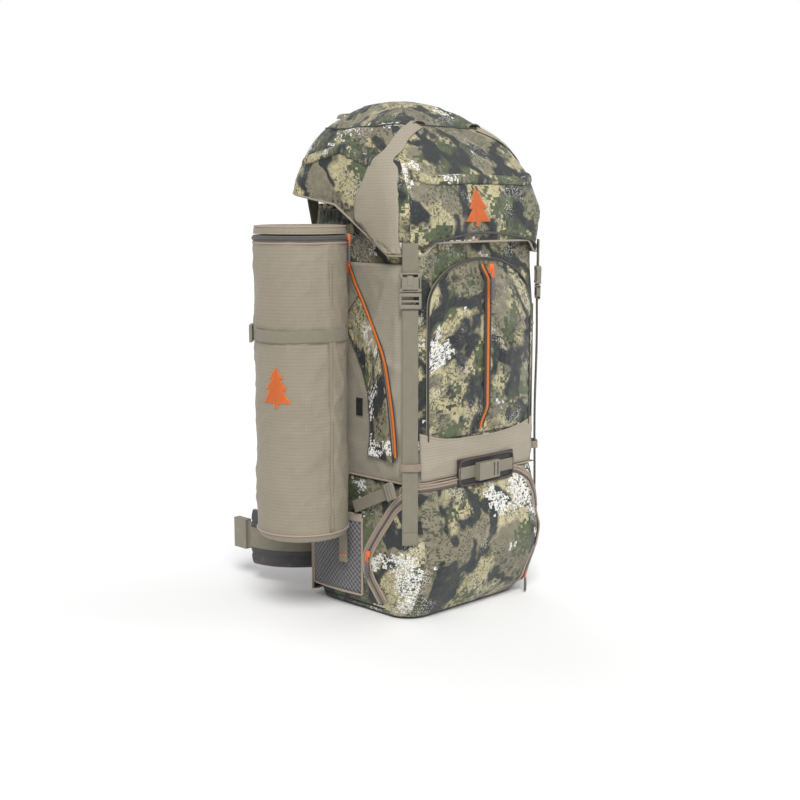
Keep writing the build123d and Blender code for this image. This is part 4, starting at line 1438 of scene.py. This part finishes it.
def hood_parts():
    n, m, caps = 190, 78, 16     # columns, rows up the wall, rows over the crown
    total = perimeter(HOOD[1][1:])
    rows, uvs = [], []
    for j in range(m + caps + 1):
        row, uv = [], []
        for i in range(n):
            s = total * i / n
            at, _ = around(HOOD[0][1:], s)
            low = hem_height(at.x, at.y)
            if j <= m:
                v = j / m
                z = lerp(low, HOOD_TOP, v)
                section = hermite(HOOD, z)
                p, nrm = around(section, perimeter(section) * i / n)
                ease = smooth(0, .08, v) * smooth(1.0, .90, v)
                fold = wrinkle(p.x * 9, p.y * 9 + z * 11, 3.3) * 4.6 \
                    + wrinkle(p.x * 24, p.y * 24 + z * 22, 1.2) * 1.3
                d = (1.0 + ease * fold + 1.6 * smooth(.05, 0, v)) * MM
                row.append(Vector((p.x + nrm.x * d, p.y + nrm.y * d, z)))
            else:
                k = 1 - (j - m) / caps * .985
                section = hermite(HOOD, HOOD_TOP)
                p, nrm = around(section, perimeter(section) * i / n)
                puff = 1.4 * wrinkle(p.x * k * 20, p.y * k * 20, 2.0)
                row.append(Vector((p.x * k, CROWN_Y + (p.y - CROWN_Y) * k,
                                   HOOD_TOP + (8.0 * (1 - k * k) + puff * .8 * (1 - k)) * MM)))
        rows.append(row)
        for i in range(n + 1):
            q = row[i % n]
            height = rows[0][i % n].z if j == 0 else uvs[-1][i][1] + (q - rows[-2][i % n]).length
            uv.append((total * i / n + 7.3, height))
        uvs.append(uv)
    hood = grid("hood_cloth", rows, uvs, CAMO, "hood", closed=True)
    pins = list(range(n * 2)) + list(range(n * (m - 2), n * (m + caps + 1)))
    inflate(hood, pins, 1.2, 2.5 * MM, frames=8, grow=.04, stiffness=10, bending=.3)
    thicken(hood, 1.6 * MM)
    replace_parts(hood, "hood_shell")
    skin = tree_of(hood)
    layer = hood.data.uv_layers["cloth"].data
    for face in hood.data.polygons:
        if face.center.z > CROWN_SEAM:
            for k in face.loop_indices:
                co = hood.data.vertices[hood.data.loops[k].vertex_index].co
                layer[k].uv = (co.x + 3.0, co.y * 1.25 + 9.0)
    section = hermite(HOOD, CROWN_SEAM)
    ring = [seat(skin, on_shell(HOOD, CROWN_SEAM, perimeter(section) * i / 150, 3 * MM), .6 * MM)[0]
            for i in range(150)]
    cord_tube("hood_crown_seam", ring, 1.2 * MM, PIPING, "hood", closed=True)

    rim = [rows[0][i] + Vector((0, 0, .5 * MM)) for i in range(n)]
    cord_tube("hood_hem_piping", rim, 1.8 * MM, TAN, "hood", closed=True)

    def on_hood(x, y, z, out):
        return seat(skin, on_shell(HOOD, z, arc_of(HOOD, x, y, z), 4 * MM), out)[0]

    # tan wedge from the buckle tab up to the crown's webbing loop
    right = [(-155, -120, 576), (-158, -118, 598), (-157, -118, 635), (-153, -111, 672),
             (-145, -101, 702), (-142, -89, 717), (-124, -89, 732), (-101, -79, 751), (-64, -64, 768)]
    left = [(-156, -92, 578), (-160, -62, 602), (-161, -30, 628), (-161, -28, 655), (-158, -45, 687),
            (-153, -55, 713), (-141, -69, 732), (-106, -62, 760), (-73, -51, 777)]
    edges = []
    for knots in (right, left):
        flat = [(arc_of(HOOD, x * MM, y * MM, z * MM), z * MM, 0) for x, y, z in knots]
        edges.append(spline(flat, 61))

    def wedge(u, v):
        a, b = edges[0][int(round(v * 60))], edges[1][int(round(v * 60))]
        return lerp(a[0], b[0], u), lerp(a[1], b[1], u)
    wing = panel("hood_wedge_left", HOOD, wedge, 22, 60,
                 lambda u, v, s, z: (7.2 + wrinkle(s * 12, z * 12, 2) * 1.6) * MM,
                 TAN, "hood", 1 * MM, 8.8)
    lay_on(skin, wing, 1.5 * MM)
    fair = tree_of(wing)
    other = mirror(wing)
    lay_on(skin, other, 1.5 * MM)
    for k, u in (("a", .05), ("b", .95)):
        row = [seat(fair, on_shell(HOOD, wedge(u, i / 60)[1], wedge(u, i / 60)[0], 4 * MM), .4 * MM)[0]
               for i in range(61)]
        seam = stitches(f"hood_wedge_stitch_{k}_left", row, shell_normal(HOOD), "hood", THREAD)
        mirror(seam)

    # folded flap seam over the side pockets and across the front
    fold = [(-146, 102, 724), (-145, 51, 735), (-141, 20, 742), (-147, -20, 730), (-150, -57, 720),
            (-134, -108, 700), (-106, -126, 692), (-41, -128, 694), (0, -128, 694)]
    runs = {"left": fold[:5], "front": fold[5:] + [(-x, y, z) for x, y, z in reversed(fold[5:-1])],
            "right": [(-x, y, z) for x, y, z in fold[:5]]}
    for where, knots in runs.items():
        path = spline([tuple(on_hood(x * MM, y * MM, z * MM, .4 * MM)) for x, y, z in knots], 90)
        lip_rows = []
        for drop, out in ((-2, .2), (0, 1.8), (3, 3.4), (8, 4.0), (13, 2.6), (15, .2)):
            lip_rows.append([seat(skin, p - Vector((0, 0, drop * MM)), out * MM)[0] for p in path])
        grid(f"hood_flap_fold_{where}", lip_rows,
             [[(i * 4 * MM, j * 4 * MM) for i in range(91)] for j in range(6)],
             CAMO, "hood", thick=1 * MM)

    # front pocket rim arch
    arch = [(-137, -139, 583), (-120, -141, 592), (-100, -144, 597), (-33, -146, 606), (0, -146, 607)]
    half = [on_hood(x * MM, y * MM, z * MM, 2.6 * MM) for x, y, z in arch]
    whole = half + [Vector((-p.x, p.y, p.z)) for p in reversed(half[:-1])]
    cord_tube("hood_front_rim", spline([tuple(p) for p in whole], 80), 2.0 * MM, PIPING, "hood")

    def bend(p):
        hit, nrm, _, _ = skin.ray_cast(Vector((p.x, -.4, p.z)), Vector((0, 1, 0)))
        return (hit or p) + Vector((0, -1.0 * MM, 0)), Vector((0, -1, .1)).normalized()
    pine("hood_emblem", (-.016, -.141, .648), (1, 0, 0), (0, -1, 0), "hood", bend)

    lo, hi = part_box("hood_lining")
    lining = surface("hood_lining_sheet", lambda u, v: (
        lerp(lo.x, hi.x, u), lerp(lo.y, hi.y, v),
        lo.z + (.9 + .5 * wrinkle(u * 5, v * 5, 4)) * MM), 44, 36, INSIDE, "hood", .9 * MM)
    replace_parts(lining, "hood_lining")

    # webbing loops on the crown, each arched between its two ends
    loops = []
    for x, y, z in ((-.064, -.060, .7755), (.064, -.060, .7755),
                    (-.064, .100, .793), (.064, .100, .793)):
        pts = spline([(x - .015, y, z - .004), (x - .012, y, z + .0005), (x - .006, y, z + .0030),
                      (x, y, z + .0036), (x + .006, y, z + .0030), (x + .012, y, z + .0005),
                      (x + .015, y, z - .004)], 26)
        loops.append(webbing("loop", pts, 15 * MM, (0, 1, 0), "hood", None, 1.5 * MM))
    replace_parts(join("crown_loops", loops), "gear_loops")

    straps = []
    for x in (-.092, .092):
        pts = spline([(x, .127, .560), (x, .136, .590), (x, .146, .628), (x, .1548, .664),
                      (x, .1556, .690), (x, .1550, .720)], 40)
        straps.append(webbing("rear", pts, 24 * MM, (1, 0, 0), "hood", None, 1.6 * MM))
    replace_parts(join("rear_straps", straps), "rear_lid_straps")
    seam = [on_hood(x * MM, 150 * MM, 690 * MM, 3 * MM) for x in range(-120, 121, 8)]
    cord_tube("hood_rear_zip_cord", seam, 1.6 * MM, PIPING, "hood")


hood_parts()


# ------------------------------------------------------------------ tube case
TX, TY, TR = -.235, .021, .0705                    # the tube's axis and radius
TUBE_FOOT, TUBE_MOUTH, TUBE_ZIP = .150, .603, .6005


def on_tube(angle, z, r=TR):
    a = math.radians(angle)
    return Vector((TX + r * math.cos(a), TY + r * math.sin(a), z))


def hoop(z, r, n=120):
    """A closed ring of points round the tube."""
    return [on_tube(360 * i / n, z, r) for i in range(n)]


def tube_parts():
    n = 150

    def radius(a, z):
        dent = wrinkle(math.cos(a) * 1.5 + z * 5, math.sin(a) * 1.5 + z * 14, 5.5) * 3.6 \
            + wrinkle(math.cos(a) * 2.6, math.sin(a) * 2.6 + z * 40, 2.5) * 1.8
        near = smooth(.16, .20, z) * smooth(.604, .585, z)
        waist = -1.1 * math.exp(-((z - .455) / .016) ** 2)
        return TR + (near * dent + waist + .2) * MM
    rows, uvs = [], []
    profile = [(.1385, TR * k) for k in (.02, .2, .4, .6, .75)] \
        + [(.138 + .011 * (1 - math.cos(math.radians(a))), TR - .011 + .011 * math.sin(math.radians(a)))
           for a in range(0, 91, 15)] \
        + [(lerp(TUBE_FOOT, TUBE_MOUTH, k / 110), None) for k in range(111)]
    run = 0.0
    last = profile[0]
    for z, r in profile:
        run += math.hypot(z - last[0], (r or TR) - (last[1] or TR))
        last = (z, r)
        row = []
        for i in range(n):
            a = 2 * math.pi * i / n
            rr = r if r is not None else radius(a, z)
            row.append(Vector((TX + rr * math.cos(a), TY + rr * math.sin(a), z)))
        rows.append(row)
        uvs.append([(2 * math.pi * TR * i / n, run) for i in range(n + 1)])
    shell = grid("tube_cloth", rows, uvs, TUBE_TAN, "pack", closed=True, thick=1.5 * MM)
    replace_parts(shell, "tube_shell")
    wall = tree_of(shell)
    cord_tube("tube_base_piping", hoop(.1505, TR + 1.1 * MM), 1.5 * MM, BINDING, "pack", closed=True)
    seam = line(on_tube(268, .152, TR + .9 * MM), on_tube(268, .596, TR + .9 * MM), 60)
    webbing("tube_seam", seam, 9 * MM, (1, 0, 0), "pack", TUBE_TAN, 1.0 * MM)
    for k in (-3, 3):
        row = [p + Vector((k * MM, -.7 * MM, 0)) for p in seam]
        stitches(f"tube_seam_stitch_{'ab'[k > 0]}", row, (0, -1, 0), "pack", THREAD_DARK)

    def bend(p):
        a = math.atan2(p.y - TY, p.x - TX)
        nrm = Vector((math.cos(a), math.sin(a), 0))
        hit = wall.ray_cast(Vector((TX, TY, p.z)) + nrm * .12, -nrm)[0]
        return hit + nrm * .8 * MM, nrm
    facing = math.radians(197)
    nrm = Vector((math.cos(facing), math.sin(facing), 0))
    pine("tube_emblem", Vector((TX, TY, .378)) + nrm * TR, (-nrm.y, nrm.x, 0), nrm, "pack", bend)

    # zip round the mouth
    ring = hoop(TUBE_ZIP, TR + 1.0 * MM, 200) + hoop(TUBE_ZIP, TR + 1.0 * MM, 1)
    band = zip_run("tube_zip_band", ring, lambda p: Vector((p.x - TX, p.y - TY, 0)).normalized(), "pack",
                   GREY_TAPE, GREY_COIL, width=9 * MM, coil_w=3.6 * MM)
    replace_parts(band, "tube_zip")
    cord_tube("tube_zip_piping", hoop(.5935, TR + 1.2 * MM), 1.5 * MM, BINDING, "pack", closed=True)

    rows, uvs = [], []
    for z, r in ((.6068, TR * .0), (.6068, TR - 2 * MM), (.6072, TR + .3 * MM), (.6100, TR + .4 * MM),
                 (.6140, TR + .2 * MM), (.6170, TR - 1.2 * MM), (.6192, TR - 3.6 * MM),
                 (.6200, TR - 7 * MM), (.6204, TR * .72), (.6206, TR * .45), (.6206, TR * .2),
                 (.6206, TR * .01)):
        row = []
        for i in range(n):
            a = 2 * math.pi * i / n
            pucker = wrinkle(math.cos(a) * 3, math.sin(a) * 3, r * 20) * .5 * MM if z > .618 else 0
            row.append(Vector((TX + r * math.cos(a), TY + r * math.sin(a), z + pucker)))
        rows.append(row)
        uvs.append([(TX + r * math.cos(2 * math.pi * i / n), r * math.sin(2 * math.pi * i / n) + z)
                    for i in range(n + 1)])
    lid = grid("tube_lid_cloth", rows, uvs, TUBE_TAN, "tube_lid", closed=True)
    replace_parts(lid, "tube_lid")
    cord_tube("tube_lid_piping", hoop(.6180, TR - 1.5 * MM), 1.5 * MM, BINDING, "tube_lid", closed=True)
    cord_tube("tube_lid_hem", hoop(.6080, TR - .3 * MM), 1.1 * MM, BINDING, "tube_lid", closed=True)

    # strap round the tube, its tension lock, and the two short ties to the pack
    ring = [on_tube(360 * i / 160, .455 + 0.6 * MM * math.sin(i * .13), TR + 1.3 * MM)
            for i in range(161)]
    strap = webbing("tube_strap_ring", ring, WEB_20, (0, 0, 1), "pack", None, 1.6 * MM)
    axes = (Vector((.707, .707, 0)), Vector((0, 0, 1)), Vector((-.707, .707, 0)))
    lock_at = Vector((TX - .052, TY + .052, .455)) + axes[2] * 2.8 * MM
    moulding("tube_strap_lock", [((a, 0), (3.4, 27, 5), .9) for a in (-12.5, 0, 12.5)]
             + [((0, b), (29, 3.2, 5), .9) for b in (-12, 12)],
             axes, lambda a, b: lock_at + axes[0] * a * MM + axes[1] * b * MM, PLASTIC, "pack")
    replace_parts(strap, "tube_straps")
    for name, z in (("upper", .455), ("lower", .190)):
        pts = [Vector((lerp(-.1660, -.1500, i / 12), TY + 4 * MM + .5 * MM * math.sin(i), z))
               for i in range(13)]
        webbing(f"tube_tie_{name}", pts, 19 * MM, (0, 0, 1), "pack", None, 2.0 * MM)
    pts = spline([(-.1640, .010, .186), (-.1668, .004, .160), (-.1672, .002, .120),
                  (-.1690, .000, .082)], 40)
    webbing("tube_strap_tail", pts, WEB_20, (0, 1, 0), "pack", None, 1.6 * MM)
    zig = [Vector((-.1700, lerp(-8, 8, i / 20) * MM, .092 + .003 * (i % 2))) for i in range(21)]
    stitches("tube_tail_tack", zig, (-1, 0, 0), "pack", THREAD_ORANGE, 1.9 * MM, 1.8 * MM, .45 * MM)


tube_parts()


# ------------------------------------------------------------------ harness
def pad_profile(width, thick, channels):
    """Section of a foam pad: rounded edges and stitched grooves along its face."""
    n, groove = 30, 2.2 * MM

    def half(x):
        t = thick / 2 * max(0.06, 1 - abs(2 * x / width) ** 5) ** .5
        for c in channels:
            t -= groove * math.exp(-((x - c) / (2.6 * MM)) ** 2)
        return max(t, .4 * MM)
    xs = [width / 2 * math.sin(math.pi / 2 * (2 * i / n - 1)) for i in range(n + 1)]
    return [(x, half(x)) for x in xs] + [(x, -half(x)) for x in reversed(xs)]


def crumple(piece, seed):
    """Small irregular hollows over a pad, along its own normals."""
    amount, scale = .5 * MM, 22
    for v in piece.data.vertices:
        d = wrinkle(v.co.x * scale, v.co.z * scale + v.co.y * scale, seed)
        v.co = v.co + v.normal * d * amount
    piece.data.update()


def arc3(a, b, c, count):
    """Points of the circle through three points of a plane."""
    ax, ay, bx, by, cx, cy = *a, *b, *c
    d = 2 * (ax * (by - cy) + bx * (cy - ay) + cx * (ay - by))
    ux = ((ax**2 + ay**2) * (by - cy) + (bx**2 + by**2) * (cy - ay) + (cx**2 + cy**2) * (ay - by)) / d
    uy = ((ax**2 + ay**2) * (cx - bx) + (bx**2 + by**2) * (ax - cx) + (cx**2 + cy**2) * (bx - ax)) / d
    r = math.hypot(ax - ux, ay - uy)
    t0, t1, t2 = (math.atan2(y - uy, x - ux) for x, y in (a, b, c))

    def nearest_turn(angle, other):
        return other + (angle - other + math.pi) % (2 * math.pi) - math.pi
    t2 = nearest_turn(t2, nearest_turn(t1, t0))
    turns = [lerp(t0, t2, i / (count - 1)) for i in range(count)]
    return [(ux + r * math.cos(a), uy + r * math.sin(a)) for a in turns]


def harness():
    # ribbed back panel and lumbar pad: foam blocks under air mesh
    def back(u, v):
        x, z = lerp(-.137, .137, u), lerp(.008, .548, v)
        edge = (1 - abs(2 * u - 1) ** 8) * (1 - abs(2 * v - 1) ** 14)
        rib = abs(math.sin(math.pi * (z - .15) / .062)) ** .35
        spine = smooth(.004, .016, abs(x))
        y = .1110 + (9.5 + 3.2 * rib * spine) * max(edge, 0) ** .5 * MM
        return x, min(y, .1238), z
    pad = surface("back_pad_face", lambda u, v: back(1 - u, v), 80, 150, PAD, "pack", 0, 9.1)
    inflate(pad, border(151, 81), .6, .8 * MM, frames=6, grow=.01)
    thicken(pad, 2.5 * MM)
    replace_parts(pad, "back_panel")
    border_uv = [(0, i / 60) for i in range(61)] + [(i / 30, 1) for i in range(31)] \
        + [(1, 1 - i / 60) for i in range(61)] + [(1 - i / 30, 0) for i in range(31)]
    rim = [Vector(back(u, v)) + Vector((0, -.5 * MM, 0)) for u, v in border_uv]
    keep = [rim[0]]
    for p in rim[1:]:
        if (p - keep[-1]).length > 1 * MM:
            keep.append(p)
    cord_tube("back_binding", keep[:-1], 2.2 * MM, BINDING, "pack", closed=True)

    def lumbar(u, v):
        x, z = lerp(-.087, .087, u), lerp(.022, .150, v)
        shape = (1 - abs(2 * u - 1) ** 6) * (1 - abs(2 * v - 1) ** 6)
        channel = .35 * math.exp(-((abs(x) - .045) / .004) ** 2) \
            + .3 * math.exp(-((z - .086) / .004) ** 2)
        return x, .1246 + 16.5 * MM * max(shape, 0) ** .45 * (1 - channel), z
    pad = surface("lumbar_pad_face", lambda u, v: lumbar(1 - u, v), 56, 42, PAD, "pack", 0, 9.7)
    inflate(pad, border(43, 57), 1.0, 1.0 * MM, frames=8, grow=.02)
    thicken(pad, 2 * MM)
    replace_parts(pad, "lumbar_pad")

    def yoke(u, v):
        half = lerp(.040, .074, smooth(0, 1, v))
        x, z = lerp(-half, half, u), lerp(.401, .497, v)
        soft = (1 - abs(2 * u - 1) ** 8) * (1 - abs(2 * v - 1) ** 8)
        return x, .1246 + 4.2 * MM * max(soft, 0) ** .5, z
    piece = surface("yoke_pad_face", lambda u, v: yoke(1 - u, v), 44, 30, PAD_GREY, "pack",
                    1.2 * MM, 10.3)
    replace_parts(piece, "shoulder_yoke")
    for k, v in (("top", .93), ("low", .07)):
        stitches(f"yoke_pad_stitch_{k}", [Vector(yoke(.04 + .92 * i / 30, v)) for i in range(31)],
                 (0, 1, 0), "pack", THREAD)

    # shoulder strap: padded arch with piping, webbing and its adjuster
    mid = arc3((.1316, .4975), (.1995, .345), (.1380, .200), 70)
    path = [Vector((-.081 + .004 * math.sin(math.pi * i / 69), y, z)) for i, (y, z) in enumerate(mid)]
    for side, mirrored in (("left", False), ("right", True)):
        body = f"shoulder_strap_{side}"
        pts = [Vector((-p.x, p.y, p.z)) for p in path] if mirrored else path
        strap = sweep(f"shoulder_pad_{side}", pts, pad_profile(60 * MM, 12.4 * MM, (-18 * MM, 18 * MM)),
                      (1, 0, 0), PAD_GREY, body)
        crumple(strap, 3)
        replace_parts(strap, body)
        for k in (-1, 1):
            rail = [p + Vector((k * 30 * MM, 0, 0)) for p in pts[1:-1]]
            cord_tube(f"shoulder_piping_{side}_{'ab'[k > 0]}", rail, 1.5 * MM, BINDING, body)
        face = [p + n * (6.6 * MM) for p, (_, _, n) in zip(pts, frames_along(pts, (1, 0, 0)))]
        centre = Vector((0, .05, .345))
        if (face[35] - centre).length < (pts[35] - centre).length:
            face = [p * 2 - q for p, q in zip(pts, face)]
        webbing(f"shoulder_daisy_{side}", face[6:-6], 22 * MM, (1, 0, 0), body, None, 1.5 * MM)
        x = pts[-1].x
        low = spline([(x, .1380, .204), (x, .1352, .190), (x, .1342, .176), (x, .1340, .160)], 24)
        webbing(f"shoulder_web_{side}", low, WEB_25, (1, 0, 0), body, None, 1.7 * MM)
        block_mesh(f"shoulder_lock_{side}", (x, .1385, .197), ((1, 0, 0), (0, 0, 1), (0, 1, 0)),
                   (30 * MM, 14 * MM, 5 * MM), PLASTIC, body, 1.4 * MM)

    # sternum strap halves
    for side in ("left", "right"):
        node = f"sternum_strap_{side}"
        lo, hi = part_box(node)
        c = (lo + hi) / 2
        outer, inner, sign = (lo.x, hi.x, 1) if side == "left" else (hi.x, lo.x, -1)
        run = [Vector((lerp(outer, inner - sign * 18 * MM, i / 24),
                       c.y + .4 * MM * math.sin(i * .5), c.z))
               for i in range(25)]
        web = webbing(f"sternum_web_{side}", run, 19 * MM, (0, 0, 1), node, None, 1.5 * MM)
        buckle_at = (inner - sign * 12 * MM, c.y, c.z)
        moulding(f"sternum_buckle_{side}", [((), (22, 21, 6.6), 1.8), ((), (9, 14, 7.6), 1.0)],
                 ((1, 0, 0), (0, 0, 1), (0, 1, 0)), lambda: buckle_at, PLASTIC, node)
        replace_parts(web, node)

    # hip wings: padded, piped, with the belt webbing along their outer face
    inner = arc3((-.104, .137), (-.147, .176), (-.163, .228), 50)
    outer = arc3((-.110, .130), (-.158, .170), (-.175, .226), 50)
    path = [Vector(((a[0] + b[0]) / 2, (a[1] + b[1]) / 2 + .0008, .083)) for a, b in zip(inner, outer)]
    for side, sign in (("left", 1), ("right", -1)):
        body = f"hip_wing_{side}"
        pts = [Vector((sign * p.x, p.y, p.z)) for p in path]
        wing = sweep(f"hip_pad_{side}", pts, pad_profile(95 * MM, 12.2 * MM, (-27 * MM, 27 * MM)),
                     (0, 0, 1), PAD_GREY, body)
        crumple(wing, 6)
        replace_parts(wing, body)
        for k in (-1, 1):
            rail = [p + Vector((0, 0, k * 47.0 * MM)) for p in pts[1:-1]]
            cord_tube(f"hip_piping_{side}_{'ab'[k > 0]}", rail, 1.6 * MM, ORANGE_EDGE, body)
        face = []
        for i, p in enumerate(pts):
            t = (pts[min(i + 1, 49)] - pts[max(i - 1, 0)]).normalized()
            n = Vector((t.y, -t.x, 0))
            if n.x * sign > 0:
                n = -n
            face.append(p + n * 7.2 * MM)
        webbing(f"hip_web_{side}", face[3:], 36 * MM, (0, 0, 1), body, None, 1.7 * MM)
        tongue = line((sign * -.1670, .214, .083), (sign * -.1670, .2525, .083), 16)
        webbing(f"hip_tongue_{side}", tongue, 36 * MM, (0, 0, 1), body, None, 1.6 * MM)
        for k in (-1, 1):
            row = [p + Vector((0, 0, k * 16 * MM)) for p in face[4:-2]]
            stitches(f"hip_stitch_{side}_{'ab'[k > 0]}", row, (-sign, -.2, 0), body, THREAD)
    show(PLASTIC_BODY, "hip_buckle_female", "hip_buckle_male")

    # haul loop
    pts = [(-.0290, .544), (-.0290, .520), (-.0250, .5085), (-.010, .5072),
           (.010, .5072), (.0250, .5085), (.0290, .520), (.0290, .544)]
    path = spline([(x, .1278, z) for x, z in pts], 70)
    loop = sweep("haul_loop_web", path, strap_profile(7.6 * MM, 2.3 * MM),
                 lambda i: (path[min(i + 1, 69)] - path[max(i - 1, 0)]).cross(Vector((0, 1, 0))),
                 WEBBING,
                 "haul_loop")
    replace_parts(loop, "haul_loop")


harness()
